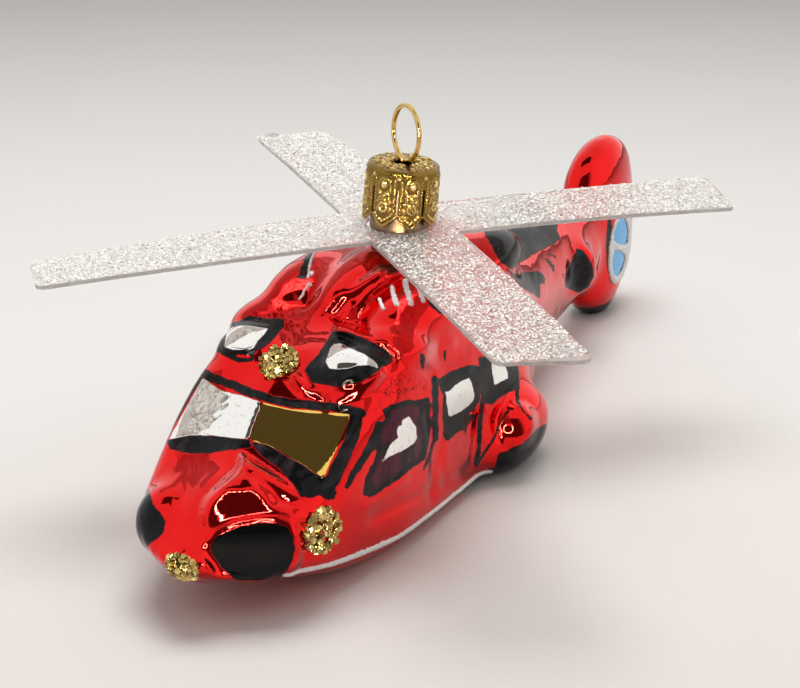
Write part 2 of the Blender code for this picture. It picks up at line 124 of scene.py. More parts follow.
# Wear with a painted highlight on the high places of the cap's embossing
WEAR_AND_HIGHLIGHT_GOLD = (1.0, 0.79, 0.36)
DULL_WIRE = (0.60, 0.38, 0.12)
CHIP_GOLDS = ((0.30, 0.21, 0.055), (0.78, 0.62, 0.26))
PAINT_WHITES = ((0.62, 0.60, 0.59), (0.93, 0.92, 0.90))
FLAKE_TINTS = (
    (0.0, (0.40, 0.375, 0.35)),
    (0.06, (0.50, 0.475, 0.445)),
    (0.20, (0.60, 0.575, 0.54)),
    (0.45, (0.67, 0.645, 0.61)),
    (0.82, (0.75, 0.73, 0.69)),
    (0.92, (0.85, 0.94, 0.85)),
    (0.96, (1.0, 0.95, 0.84)),
    (1.0, (1.0, 1.0, 0.98)),
)

# From here on sizes are in mm, where nothing else is said

# Fuselage and boom: (y, half width, underside, widest height, top, lower and upper squareness)
HULL_STATIONS = (
    (-55.4, 1.2, 8.8, 10.3, 11.8, 2.0, 2.0),
    (-54.0, 4.8, 6.9, 10.3, 13.0, 2.0, 2.0),
    (-51.3, 7.8, 5.4, 10.2, 14.2, 2.2, 2.1),
    (-47.0, 10.7, 4.1, 10.0, 15.8, 2.6, 2.4),
    (-42.0, 12.4, 2.4, 9.8, 18.6, 3.3, 3.0),
    (-36.0, 13.5, 0.8, 10.0, 22.8, 4.2, 3.6),
    (-30.0, 14.1, -0.2, 10.4, 26.3, 5.0, 3.7),
    (-24.0, 14.7, -0.5, 10.6, 27.6, 5.8, 3.6),
    (-12.0, 14.9, -0.6, 10.4, 27.6, 6.0, 3.4),
    (4.0, 14.6, -0.6, 10.0, 27.4, 5.4, 2.9),
    (16.0, 13.0, 0.2, 10.4, 27.2, 3.6, 2.6),
    (26.0, 9.8, 1.8, 12.0, 26.6, 2.6, 2.3),
    (38.0, 7.0, 3.6, 14.0, 25.4, 2.2, 2.1),
    (50.0, 5.3, 5.0, 14.0, 23.6, 2.1, 2.0),
    (60.0, 4.5, 5.6, 13.6, 22.4, 2.0, 2.0),
    (66.0, 3.0, 7.0, 13.6, 20.4, 2.0, 2.0),
)
# Tail fin: (height, leading edge y, trailing edge y, half thickness, squareness)
FIN_STATIONS = (
    (-0.4, 65.8, 70.6, 1.8, 2.0),
    (0.8, 64.2, 72.4, 2.9, 2.0),
    (4.0, 60.4, 75.2, 4.0, 2.2),
    (9.0, 59.8, 77.8, 4.7, 2.3),
    (16.0, 59.6, 78.6, 4.7, 2.3),
    (22.0, 58.6, 78.4, 4.4, 2.2),
    (26.0, 60.0, 77.4, 3.9, 2.1),
    (28.8, 63.2, 75.0, 2.9, 2.0),
    (30.3, 67.4, 71.6, 1.1, 2.0),
)
RING_POINTS = 72
STATION_STEPS = 8
# Flat planes of the windscreen: a point of both, and the way that the port one faces
SCREEN_TOP = (0.0, -35.5, 22.4)
SCREEN_NORMAL = (0.166, -0.530, 0.831)

# Masses blown out of the hull: (name, centre, radii, turn about x in degrees), port one of a pair
CENTRE_MASSES = (
    ("nose ridge", (0.0, -45.0, 10.5), (5.2, 9.0, 6.2), 28.0),
    ("mast fairing", (0.0, 1.0, 27.4), (8.6, 17.0, 6.9), 0.0),
    ("snout", (0.0, -6.8, 28.2), (5.8, 13.2, 6.0), 0.0),
    ("neck shoulder", (0.0, 0.0, 30.0), (6.8, 7.6, 4.4), 0.0),
)
PAIR_MASSES = (
    ("chin lamp", (5.6, -46.6, 9.8), (5.0, 5.7, 5.2), 0.0),
    ("engine cheek", (8.2, -8.2, 27.2), (5.2, 12.6, 5.3), 0.0),
    ("shoulder", (9.2, -19.0, 25.2), (4.9, 7.0, 4.3), 0.0),
    ("exhaust", (7.0, 10.0, 27.6), (4.4, 11.5, 4.6), 0.0),
    ("roof window", (7.6, -26.6, 24.9), (4.4, 4.8, 3.2), 14.0),
    ("wheel pod", (14.5, 6.6, 5.6), (4.4, 8.9, 5.9), 0.0),
    ("stabiliser", (5.0, 50.5, 13.8), (2.8, 3.2, 4.2), 0.0),
)
# Skin: smoothings of the first one, creases left alone, rounds that share one set of normals,
# and the waves of the ripple, (waves for each metre, share)
FIRST_SOFTNESS = 3
LEAST_CREASE = 0.0005
NORMALS_HOLD = 4
SWELLS = ((150.0, 1.0), (330.0, 0.5), (760.0, 0.16))

NECK_RADIUS = 4.1
NECK_BORE_RADIUS = 3.2
NECK_TOP = 42.6
NECK_FOOT = 32.6
NECK_LIP = 0.15
NECK_COLUMNS = 64

# Rotor: (direction in degrees, reach, slant of the tip, lift of the leading edge)
BLADES = (
    (-40.6, 49.3, 0.6, -0.35),
    (49.4, 49.9, 0.6, 0.5),
    (139.4, 50.4, -1.4, 0.3),
    (229.4, 50.6, 0.5, 0.5),
)
ROTOR_HUB_TOP = 36.0
ROTOR_SHEET = 0.5
ROTOR_DROOP = 1.25
ROTOR_HOLE_RADIUS = 4.6
BLADE_ROOT_HALF_WIDTH = 6.3
BLADE_TIP_HALF_WIDTH = 6.0
BLADE_CORNER = 1.4
BLADE_EDGE_ROUNDING = 0.14
BLADE_COLUMNS = 10
BLADE_ROWS = 24
# Flakes: share that lies at the edges and round the hub, how far that reaches, sizes and tilt
THINNEST_GLITTER = 0.35
THIN_GLITTER_REACH = 24.0
THIN_EDGE_REACH = 0.9
FLAKE_SIZES = (0.09, 0.12, 0.15, 0.18)
FLAKE_TILT = 20.0

# Crown cap
CAP_OUTER_RADIUS = 5.25
CAP_INNER_RADIUS = 4.83
CAP_WALL = 0.35
CAP_SHEET = 0.28
CAP_PILLOW = 0.22
CAP_RIM_WIDTH = 0.22
CAP_RIM_HEIGHT = 0.16
CAP_HEIGHT = 7.9
CAP_TABS = 8
CAP_TAB_SHOULDER = 1.5
CAP_SLIT_TOP = 5.3
CAP_SLIT_HALF_WIDTH = math.radians(1.8)
CAP_TAB_COLUMNS = 33
CAP_TAB_ROWS = 36
CAP_WALL_ROWS = 11
CAP_TOP_RINGS = 22
CAP_PEBBLES = 150
CAP_PEBBLE_SIZES = (0.24, 0.42)
CAP_PEBBLE_HEIGHTS = (0.2, 0.32)
CAP_EDGE_RADIUS = 0.6
CAP_HOLE_HALF_SIDE = 1.35
CAP_FRAME = (
    Matrix.Translation((0.0, 0.0, 36.7 * MM))
    @ Matrix.Rotation(math.radians(4.5), 4, Vector((-0.4880, 0.8730, 0.0)))
)
# Embossing of a tab, on one half: beads and leaves ((across, up), radii, height), and rings of
# wire ((across, up), radii, half width, height)
TAB_DOMES = (
    ((0.0, 5.95), (0.50, 0.60), 0.34),
    ((0.0, 4.35), (0.2, 0.2), 0.2),
    ((0.0, 2.85), (0.24, 0.24), 0.26),
    ((0.0, 0.78), (0.21, 0.21), 0.3),
    ((0.52, 4.72), (0.40, 0.22), 0.30),
    ((0.95, 5.1), (0.18, 0.3), 0.2),
    ((0.95, 3.45), (0.26, 0.26), 0.2),
    ((1.0, 2.35), (0.2, 0.42), 0.18),
    ((1.95, 6.95), (0.24, 0.24), 0.28),
    *(((0.42 + 0.40 * k, 1.02 + 0.32 * k), (0.21, 0.21), 0.3) for k in range(3)),
    *(((1.56, 2.25 + 0.42 * k), (0.17, 0.17), 0.2) for k in range(11)),
)
TAB_HOOPS = (
    ((0.0, 5.75), (0.98, 1.05), 0.13, 0.13),
    ((0.0, 2.75), (0.58, 0.62), 0.17, 0.26),
    ((0.45, 3.95), (0.36, 0.25), 0.12, 0.16),
)
# Hanging wire
WIRE_RADIUS = 0.35
RING_RADIUS = 3.75
RING_CENTRE_ABOVE_CAP = 4.1
RING_STEPS = 96
LEG_GAP = 0.5
LEG_SPREAD = 1.9
LEG_DEPTH = 7.0
LOOP_TURN = math.radians(-34.0)

# Chips of gold glitter: radii, half thickness, heights above the glass, and lean
CHIP_SIZES = (0.26, 0.46)
CHIP_HALF_THICK = 0.05
CHIP_HEIGHTS = (0.10, 0.16, 0.24, 0.42, 0.60)
CHIP_LEAN = 0.75

# Paint on the windscreen, the roof and the nose, as closed outlines in the photograph's pixels
SILVER_SEEN = {
    "starboard pane": (
        (203, 378), (219, 389.5), (226.5, 392), (242, 395.6), (261, 402.5), (258.6, 411),
        (252.5, 426), (248.7, 439), (238, 438.4), (225, 436.5), (211, 435.4), (193, 435),
        (182, 436.5), (168.7, 439.6)),
    "starboard roof window": (
        (231.8, 327.2), (240.7, 325.9), (252.8, 326.3), (262.4, 328.2), (268.1, 328.2),
        (263.7, 334.9), (257.3, 341.3), (254.1, 347), (250.9, 350.2), (247.1, 348.3),
        (238.2, 349.9), (231.8, 349.5), (224.8, 346.4), (225.4, 338.1), (227.3, 331.7)),
    "port roof window": (
        (334.3, 343.9), (342.7, 343.9), (346.2, 346.7), (355.4, 350.2), (365.2, 354.4),
        (372.2, 359.3), (377.1, 364.2), (377.8, 367.7), (368.7, 364.9), (358.2, 365.6),
        (347.6, 368.4), (337.1, 369.5), (329.4, 368.4), (325.9, 362.1), (328, 355.1),
        (330.8, 348)),
}
AMBER_SEEN = {
    "port pane": (
        (261.6, 402.4), (275.7, 405.8), (292, 409.5), (308, 410), (325.5, 412.4), (342, 413.2),
        (350.4, 414), (346, 426), (342, 436.4), (336.3, 449.7), (329.6, 463), (323.8, 477.5),
        (313, 472), (303, 464.6), (292.3, 458.8), (280, 451.4), (267.4, 444.7), (256.7, 442.2),
        (250, 439.5)),
}
BLACK_SEEN = {
    "under the starboard pane": (
        (166, 440), (182, 436), (193, 434.5), (211, 435), (225, 436), (238, 438), (250, 439),
        (251, 447), (240, 449), (225, 451), (210, 453), (193, 454), (180, 452), (170, 449)),
    "under the port pane": (
        (250, 439), (256.7, 442.2), (267.4, 444.7), (280, 451.4), (292.3, 458.8), (303, 464.6),
        (313, 472), (323.8, 477.5), (331, 480), (337, 492.8), (334, 500), (326, 500), (320, 494.5),
        (312, 498), (301, 497), (291, 482), (280, 469), (266, 459), (255, 450)),
    "starboard roof frame": (
        (230.5, 324), (249.6, 315.7), (262.4, 317.7), (277.7, 318.3), (284, 320.2), (284.7, 326.6),
        (280.3, 331), (272, 341.9), (262.4, 348.3), (256, 350.8), (254.7, 357.2), (253.5, 361),
        (238.2, 362.9), (227.3, 357.2), (216.5, 351.5), (215.8, 345.7), (223.5, 331), (228, 326)),
    "port roof frame": (
        (332.9, 330.5), (344.1, 331.2), (358.2, 336.1), (372.2, 341.8), (386.2, 349.5),
        (392.5, 356.5), (391.1, 362.1), (379.2, 370.5), (368.7, 378.2), (358.2, 383.2),
        (337.1, 387.4), (311.8, 382.5), (304.1, 370.5), (309, 363.5), (318.2, 353.7),
        (326.6, 341)),
    "cowling patch": (
        (314.3, 251.5), (308.7, 254), (304.7, 256.9), (302.7, 262.5), (300.7, 268), (298.7, 274.4),
        (296, 277.6), (303.1, 280), (306.3, 280), (307.1, 272.8), (307.9, 266.5), (309.5, 260.9),
        (311.9, 256.1)),
}
# Brushed lines: (half width, route), in the photograph's pixels
BLACK_LINES_SEEN = (
    (4.6, ((204, 373), (213, 378), (226, 383), (240, 388), (252, 393), (262, 396))),
    (4.4, ((262, 396), (275, 400), (292, 403.5), (312, 405.5), (330, 407), (350, 409.5),
           (362, 414))),
    (1.2, ((203, 376), (199, 381), (182, 410), (165, 441))),
    (2.0, ((218, 332), (216, 345), (207, 358), (201, 371))),
)
RED_LINES_SEEN = (
    (1.5, ((219, 386.2), (234, 391.6))),
    (1.4, ((237, 355.4), (249, 357))),
)

# Paint that both sides carry, traced on the port side
SILVER_SIDES = {
    "front side window": (
        (409.3, 415.9), (412.5, 422.3), (416.3, 426.8), (417, 438.3), (413.8, 442.7),
        (407.4, 447.8), (397.8, 452.9), (388.3, 457.4), (381.9, 461.9), (385.7, 454.8),
        (389.5, 445.9), (394.6, 440.8), (398.5, 437.6), (396.6, 431.9), (398.5, 426.1),
        (401.7, 424.9), (402.3, 420.4)),
    "middle side window": (
        (444.5, 391.7), (449, 391.3), (455.2, 385.2), (462.8, 380.6), (469, 377.9), (472, 382.9),
        (474.3, 394.4), (473.6, 400.5), (467.4, 406.6), (459.8, 412), (449, 417), (446.8, 403.6),
        (446.4, 395.9)),
    "rear side window": (
        (491.5, 363.8), (496.5, 360.7), (501, 361.5), (505.7, 366.8), (507.6, 372.2), (508, 378.3),
        (500.3, 382), (494.2, 385.2), (493, 375.2)),
}
BLACK_SIDES = {
    "front side frame": (
        (390.8, 404.5), (406, 400), (420, 399.7), (430, 396), (431, 430), (425, 459), (417, 465),
        (407.4, 472), (394.6, 482.3), (381.9, 490.6), (371, 498.2), (362.8, 494.4), (365.3, 478.4),
        (369, 470.8), (377, 451), (376, 440), (374.2, 429.3), (385, 418.5), (382.5, 409.6)),
    "middle side frame": (
        (437.6, 379.8), (448.3, 373), (469, 364.5), (478.9, 366), (481.2, 375.2), (480.4, 399),
        (475, 408), (476.6, 417.3), (467.4, 425.7), (466, 441), (464.4, 429), (453.7, 435),
        (449, 441), (443.7, 439.5), (443, 422.7), (443, 395.9)),
    "rear side frame": (
        (480.4, 363.8), (486.6, 351.5), (494.2, 357.7), (506, 360), (518.7, 366), (519.5, 388.3),
        (518.6, 403), (516.4, 403), (514.9, 389.8), (500.3, 397.4), (491.2, 405), (483.5, 402.8)),
    "front louvre": ((419.5, 354), (424, 353.8), (425.4, 360), (423.4, 369), (420.6, 366)),
    "rear louvre": ((443.2, 351), (446.2, 350), (446.8, 356), (445.6, 361.5), (443.4, 360)),
    "chin lamp": (
        (211, 545.8), (216.6, 535.9), (236.3, 527.5), (257.3, 523.3), (275.6, 522.6),
        (288.2, 527.5), (293.8, 537.4), (295.2, 548.6), (292.4, 561.2), (285.4, 572.4),
        (278.4, 579.4), (255, 581), (233.5, 579.4), (222.2, 568.2), (211, 554.2)),
    "pod underside": (
        (498, 453), (507.9, 450.9), (512.1, 447.4), (523.3, 443.2), (531.8, 434.7), (537.4, 428.4),
        (545.8, 423.5), (549, 428), (542, 446), (533, 458), (522, 466), (509, 473), (498, 476),
        (495, 466)),
    "boom top": (
        (484, 232), (489, 222), (557, 218), (557.6, 227.6), (557.2, 230.2), (560.6, 238.8),
        (556.3, 242.2), (546, 248.3), (538.2, 251.7), (520.1, 262.9), (512, 269.8), (500, 262)),
    "boom brushing": (
        (503, 266), (511.5, 271.5), (516.7, 275), (525.3, 271.5), (536.5, 270.7), (542.5, 273.2),
        (545.5, 278.4), (544.7, 283.6), (540.4, 283.6), (539.9, 299.1), (520, 286)),
    "boom shadow": (
        (542.5, 257.7), (549, 259.4), (554.6, 266.3), (553.7, 273.2), (549, 264)),
    "stabiliser": (
        (577, 248.3), (571.8, 259.5), (569.2, 265.5), (564, 278.4), (565.8, 287), (571.8, 290.5),
        (579.6, 293), (589, 287), (594.2, 276.7), (593.3, 266.3), (588.2, 257.7), (583, 250)),
    "cheek end": (
        (418.8, 281.3), (429.9, 290), (436.4, 295), (446, 305), (452, 315.5), (439.2, 313.6),
        (429.9, 305.3), (427, 297)),
}
BLACK_LINES_SIDES = (
    (7.0, ((357, 414), (352, 437), (343, 458), (333, 478), (328, 489))),
    (4.6, ((379.4, 425.7), (371, 446.4), (361, 460.5), (352.8, 473), (347, 483.7))),
    (3.3, ((435.3, 379), (435.3, 438))),
    (1.5, ((434, 438), (431.5, 449.5), (427.7, 461), (423.8, 468.6))),
    (2.5, ((481.2, 359.2), (483.5, 396), (481.2, 411.2), (479.7, 426.5), (479, 449.5),
           (475.9, 463.2))),
    (1.3, ((508, 411), (500, 424), (493, 440), (485, 452), (476, 466))),
    (1.4, ((518, 402), (524, 412), (531, 419))),
    (0.9, ((545.1, 253.4), (550, 254), (555.4, 256.9))),
    (2.4, ((609.5, 222), (608.2, 248), (609.4, 266), (612.6, 281))),
)
RED_LINES_SIDES = (
    (2.6, ((366, 441), (357, 457), (348, 472), (341, 487))),
    (2.2, ((374.5, 452), (371.5, 462), (362, 474))),
    (1.2, ((469, 433), (469, 446))),
    (1.2, ((471, 413), (475, 412))),
)
# Faces pressed into the glass, as the camera sees them: name, outline in pixels, and then the
# pixel where the face meets the glass, the azimuth and elevation that it faces, its radii along
# and across (0 is flat), the turn of the first one, its rise and the softness of its edge
PRESSED_SEEN = (
    ("nose band", (
        (241, 454), (251, 461), (267, 471), (281, 480), (291, 487), (302, 496), (290, 502),
        (272, 506), (262, 492), (250, 480), (238, 470)),
        (266, 484), 36.0, 29.0, 60.0, 6.0, -35.0, 1.5, 0.9),
    ("nose face", (
        (235.7, 471), (248, 476), (259, 485), (269, 494), (276, 504), (292, 509), (300, 517),
        (298, 527), (262, 524), (235, 528), (214, 536), (204, 530), (201, 517), (203, 507),
        (207, 499), (215, 490), (225, 481)),
        (238, 497), 33.0, 27.0, 34.0, 21.0, 0.0, 2.0, 1.1),
    ("chin lamp", (
        (205, 545), (211, 532), (233, 521), (257, 516.5), (277, 516), (293, 522), (300, 535),
        (302, 549), (299, 564), (291, 577), (281, 586), (255, 589), (230, 586), (216, 573),
        (205, 557)),
        (252, 551), 36.0, 12.0, 45.0, 40.0, 0.0, -1.6, 0.9),
    ("starboard roof pane", (
        (231, 325), (241, 323), (263, 325), (270, 327), (264, 337), (254, 349), (247, 352),
        (230, 351), (222, 348), (223, 337)),
        (245, 338), 5.0, 72.0, 0.0, 0.0, 0.0, 0.0, 0.8),
    ("amber pane", (
        (261, 400), (292, 407), (325, 410), (353, 412), (348, 430), (338, 453), (325, 480),
        (303, 467), (280, 454), (250, 441)),
        (300, 440), 18.0, 56.5, 95.0, 95.0, 0.0, 0.0, 1.0),
    ("scoop", (
        (338, 322), (344, 311), (352, 302), (357, 304), (354, 314), (356, 326), (350, 327)),
        (349, 314), 31.0, 20.0, 0.0, 0.0, 0.0, 0.0, 0.7),
    ("scoop slope", (
        (325, 314), (334, 303), (348, 290), (364, 278), (382, 266), (391, 268), (384, 277),
        (370, 287), (356, 299), (345, 312), (336, 322)),
        (356, 294), 31.0, 26.0, 50.0, 6.5, 37.0, 0.1, 0.6),
    ("scoop edge", (
        (353, 328), (352, 311), (357, 300), (367, 289), (383, 277), (400, 266), (403, 274),
        (389, 284), (375, 294), (367, 303), (363, 313), (366, 331)),
        (361, 303), 34.0, 27.0, 40.0, 4.5, 48.0, 0.1, 0.6),
    ("brow left", (
        (287, 374), (296, 370), (306, 383), (318, 393), (331, 397), (331, 409), (316, 406),
        (302, 396), (291, 385)),
        (309, 391), 29.0, 27.0, 32.0, 5.0, -40.0, 0.1, 0.6),
    ("brow right", (
        (331, 397), (342, 394), (356, 387), (369, 377), (380, 367), (386, 373), (375, 387),
        (361, 398), (345, 406), (331, 409)),
        (353, 393), 37.0, 26.0, 40.0, 5.0, 32.0, 0.1, 0.6),
    ("over the roof window", (
        (338, 323), (352, 327), (369, 335), (387, 346), (399, 355), (394, 363), (379, 354),
        (363, 344), (348, 336), (336, 332)),
        (366, 341), 35.0, 29.0, 50.0, 5.0, -29.0, 0.1, 0.6),
)
PRESSED_SIDES = (
    ("wheel pod", (
        (494, 418), (500, 407), (512, 402), (525, 404), (535, 414), (537, 428), (531, 441),
        (518, 449), (504, 447), (495, 435)),
        (515, 428), 31.0, 26.0, 5.5, 5.5, 0.0, 0.7, 1.3),
)
# Lines pressed in, or out where the depth is below 0: (depth, half width, route), in mm and pixels
LINES_SEEN = (
    (0.14, 0.45, ((183, 482), (183.6, 494), (179, 505.7), (180, 514), (187, 518.6), (195, 523),
                  (193, 528.6))),
    (0.12, 0.45, ((171, 503), (168.6, 517), (173, 525.7), (180, 528.6), (191, 531.4))),
)
LINES_SIDES = (
    (0.30, 0.55, ((427.5, 417), (432, 436), (435, 455), (433.8, 480), (432, 499))),
    (0.28, 0.50, ((478.8, 417.5), (476, 442), (472.5, 465), (466, 471))),
    (0.22, 0.50, ((442, 437), (440, 460), (447, 486))),
    (-0.25, 0.6, ((405, 478), (392, 488), (380, 497), (366, 506))),
    (0.22, 0.6, ((372, 520), (400, 505), (430, 492), (455, 480), (475, 472))),
    (-0.22, 0.6, ((412, 352), (428, 346), (452, 343))),
    (0.25, 0.6, ((385, 372), (400, 362), (414, 366), (432, 374))),
)
WRINKLED_SIDES = {
    "over the front side window": (
        (368, 420), (372, 395), (384, 378), (400, 368), (420, 374), (440, 376), (436, 392),
        (410, 398), (388, 404)),
}
# White glitter: stripe on the lower side (x, y, z), strokes (half width in mm, route in pixels)
STRIPE_ROUTE = (
    (10.2, -47.2, 6.3),
    (12.1, -41.4, 5.1),
    (13.2, -35.4, 4.2),
    (13.9, -29.0, 3.2),
    (14.3, -22.5, 2.7),
    (14.5, -14.0, 2.4),
    (14.5, -7.0, 2.2),
    (14.3, 0.6, 2.0),
)
STRIPE_HALF_WIDTH = 0.46
STRIPE_STEPS = 12
CHEEK_STROKES = (
    (0.26, ((379.0, 297.9), (380.9, 303.5), (384.1, 310.4))),
    (0.36, ((391.5, 285.9), (393.4, 294.2), (396.1, 303.5), (398.5, 306.2))),
    (0.38, ((404.9, 279.4), (405.9, 286.8), (408.6, 296.1), (411.4, 306.2))),
    (0.34, ((416.0, 279.4), (418.8, 287.7), (421.1, 295.1), (423.4, 303.0))),
    (0.24, ((432.0, 298.0), (434.0, 301.5))),
)
COWLING_LINES = (
    (0.22, ((314.7, 252.9), (312.7, 256.9), (310.7, 261.7), (309.1, 269.6))),
    (0.42, ((312.6, 271.2), (309.6, 276.0))),
    (0.20, ((309.1, 269.6), (307.9, 279.2))),
    (0.50, ((310.6, 283.0), (308.2, 286.4))),
    (0.18, ((308.0, 286.0), (303.9, 291.2), (302.3, 296.0), (298.3, 299.9))),
)
STROKE_STEP = 0.14 * MM
STROKE_SIDES = 10
STROKE_RISE = 0.3
STROKE_ROUGHNESS = 0.028 * MM
# Tail rotor painted on the fin: rim and the two cells that its bar parts, as (y, z), then its
# grid, height, roundness, roughness and sheet, and how far out the fin is looked for, in metres
TAIL_RIM_MIDDLE = (68.6, 11.9)
TAIL_RIM_RADII = (4.6, 6.6)
TAIL_RIM_HALF_WIDTH = 0.6
TAIL_CELLS = (
    ((65.4, 14.0), (66.4, 13.3), (68.1, 12.4), (70.2, 11.7), (71.1, 12.1), (71.3, 13.6),
     (70.6, 15.6), (69.2, 17.0), (67.6, 17.3), (66.2, 16.6), (65.5, 15.4)),
    ((65.6, 12.2), (66.6, 12.0), (68.2, 11.2), (70.0, 10.0), (70.4, 9.0), (69.8, 7.8), (68.8, 7.0),
     (67.4, 6.8), (66.2, 7.8), (65.5, 9.2), (65.3, 10.8)),
)
RIM_CELL = 0.15
RIM_RISE = 0.3
RIM_ROUNDING = 0.35
RIM_ROUGHNESS = 0.04
RIM_WANDER = 0.10
RIM_SHEET = 0.1
RIM_START = 0.012
# The fin's two faces, and the black feet of the fin and of the wheel pods
FIN_FACE_FROM = 2.5
FIN_FOOT_FRONT = 58.0
FIN_FOOT_HEIGHT = 2.2
POD_FOOT_INSIDE = 11.0
POD_FOOT_SPAN = (-5.0, 18.5)
POD_FOOT_HEIGHT = 2.2
POD_FOOT_HEIGHT_AT = -2.0
POD_FOOT_SLOPE = 0.16
# Paint: pixels looked at round an outline, distance where there is none, and the thin edge
PAINT_MARGIN = 16.0
NO_PAINT = 6.0
FRAME_BRUSH = 0.75
# Pressing: most and least depth, where the camera sees the glass too flatly, rounds that soften
# the edges, rounds that find a curved face, pixels round its spot, and mm round that place
PRESS_LIMIT = 3.0
LEAST_PRESS = 0.03
PRESS_GRAZING = 0.6
PRESS_ROUNDING = 4
SAG_ROUNDS = 4
SPOT_REACH = 4.0
FACE_REACH = 16.0


def blend_rows(rows, steps):
    """Rows with smooth in-between rows, through every given one (Catmull-Rom)."""
    made = []
    last = len(rows) - 1
    for i in range(last):
        before, start = rows[max(i - 1, 0)], rows[i]
        end, after = rows[i + 1], rows[min(i + 2, last)]
        for k in range(steps):
            t = k / steps
            made.append(tuple(
                0.5 * (2 * b + (c - a) * t + (2 * a - 5 * b + 4 * c - d) * t * t
                       + (3 * b - a - 3 * c + d) * t ** 3)
                for a, b, c, d in zip(before, start, end, after)
            ))
    made.append(rows[-1])
    return made


def oval_point(angle, half_width, power):
    """One point of a superellipse, as shares of its half width and half height."""
    across, up = math.cos(angle), math.sin(angle)
    return (
        half_width * math.copysign(abs(across) ** (2 / power), across),
        math.copysign(abs(up) ** (2 / power), up),
    )


def hull_ring(station):
    """Points round one cross-section of the hull, with its own lower and upper half."""
    y, half_width, low, middle, high, low_power, high_power = station
    ring = []
    for k in range(RING_POINTS):
        angle = 2 * math.pi * k / RING_POINTS
        upper = math.sin(angle) >= 0
        power, reach = (high_power, high - middle) if upper else (low_power, middle - low)
        x, up = oval_point(angle, half_width, power)
        ring.append(Vector((x, y, middle + reach * up)) * MM)
    return ring


def fin_ring(station):
    """Points round the fin at one height."""
    z, front, back, half_thickness, power = station
    ring = []
    for k in range(RING_POINTS):
        x, along = oval_point(2 * math.pi * k / RING_POINTS, half_thickness, power)
        ring.append(Vector((x, (front + back) / 2 + (back - front) / 2 * along, z)) * MM)
    return ring


def skin_rings(bm, rings):
    """Adds the faces between rings of vertices, each ring closed."""
    count = len(rings[0])
    for near, far in zip(rings, rings[1:]):
        for k in range(count):
            n = (k + 1) % count
            bm.faces.new((near[k], near[n], far[n], far[k]))


def loft(bm, rings):
    """Skins a list of rings of points and closes both ends."""
    loops = [[bm.verts.new(p) for p in ring] for ring in rings]
    skin_rings(bm, loops)
    bm.faces.new(loops[0][::-1])
    bm.faces.new(loops[-1])


def add_ball(bm, place):
    """Adds one rounded mass to bm."""
    ball = bmesh.new()
    bmesh.ops.create_uvsphere(ball, u_segments=64, v_segments=40, radius=1.0, matrix=place)
    mesh = bpy.data.meshes.new("ball")
    ball.to_mesh(mesh)
    ball.free()
    bm.from_mesh(mesh)
    bpy.data.meshes.remove(mesh)


def mould(bm):
    """The shape that the glass is blown in: hull, windscreen planes, masses and fin."""
    loft(bm, [hull_ring(s) for s in blend_rows(HULL_STATIONS, STATION_STEPS)])
    bmesh.ops.recalc_face_normals(bm, faces=bm.faces[:])
    for side in (1, -1):
        x, y, z = SCREEN_NORMAL
        cut = bmesh.ops.bisect_plane(
            bm, geom=bm.verts[:] + bm.edges[:] + bm.faces[:], dist=1e-7,
            plane_co=Vector(SCREEN_TOP) * MM, plane_no=Vector((side * x, y, z)), clear_outer=True)
        rim = [e for e in cut["geom_cut"] if isinstance(e, bmesh.types.BMEdge)]
        bmesh.ops.holes_fill(bm, edges=rim, sides=0)
    loft(bm, [fin_ring(s) for s in blend_rows(FIN_STATIONS, STATION_STEPS)])
    masses = [(mass, 1) for mass in CENTRE_MASSES]
    masses += [(mass, side) for mass in PAIR_MASSES for side in (1, -1)]
    for (_, centre, radii, turn), side in masses:
        add_ball(bm, (
            Matrix.Translation(Vector((side * centre[0], centre[1], centre[2])) * MM)
            @ Matrix.Rotation(math.radians(turn), 4, "X")
            @ Matrix.Diagonal(Vector((*radii, 1.0 / MM)) * MM)))


def new_piece(name, bm, body, finish=None):
    """Turns bm into a smooth-shaded object that rides on a body."""
    mesh = bpy.data.meshes.new(name)
    bm.to_mesh(mesh)
    bm.free()
    mesh.shade_smooth()
    made = bpy.data.objects.new(name, mesh)
    bpy.context.scene.collection.objects.link(made)
    if finish:
        mesh.materials.append(finish)
    if body:
        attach(made, body)
    return made


def settle(piece):
    """Applies a piece's modifiers to its mesh."""
    graph = bpy.context.evaluated_depsgraph_get()
    graph.update()
    mesh = bpy.data.meshes.new_from_object(piece.evaluated_get(graph))
    old = piece.data
    piece.modifiers.clear()
    piece.data = mesh
    bpy.data.meshes.remove(old)
    mesh.name = piece.name
    return mesh


def skinned(piece, cell, softness):
    """Gives a piece one closed skin of even cells, smoothed softness times."""
    skin = piece.modifiers.new("one skin", "REMESH")
    skin.mode = "VOXEL"
    skin.voxel_size = cell
    soften = piece.modifiers.new("soft junctions", "SMOOTH")
    soften.factor = 0.5
    soften.iterations = softness
    return settle(piece)


def thickened(piece, thickness):
    """Gives a sheet its thickness in mm, inwards from its face."""
    sheet = piece.modifiers.new("sheet", "SOLIDIFY")
    sheet.thickness, sheet.offset = thickness * MM, -1.0


def vertex_places(mesh):
    """The places and the normals of a mesh's vertices, as arrays."""
    places = np.empty(len(mesh.vertices) * 3)
    mesh.vertices.foreach_get("co", places)
    normals = np.empty(len(mesh.vertices) * 3)
    mesh.vertex_normals.foreach_get("vector", normals)
    return places.reshape(-1, 3), normals.reshape(-1, 3)


def move_vertices(mesh, places):
    """Sets the places of a mesh's vertices."""
    mesh.vertices.foreach_set("co", places.ravel())
    mesh.update()


def edge_ends(mesh):
    """The two vertices of each edge, as an array."""
    edges = np.empty(len(mesh.edges) * 2, np.int64)
    mesh.edges.foreach_get("vertices", edges)
    return edges.reshape(-1, 2)


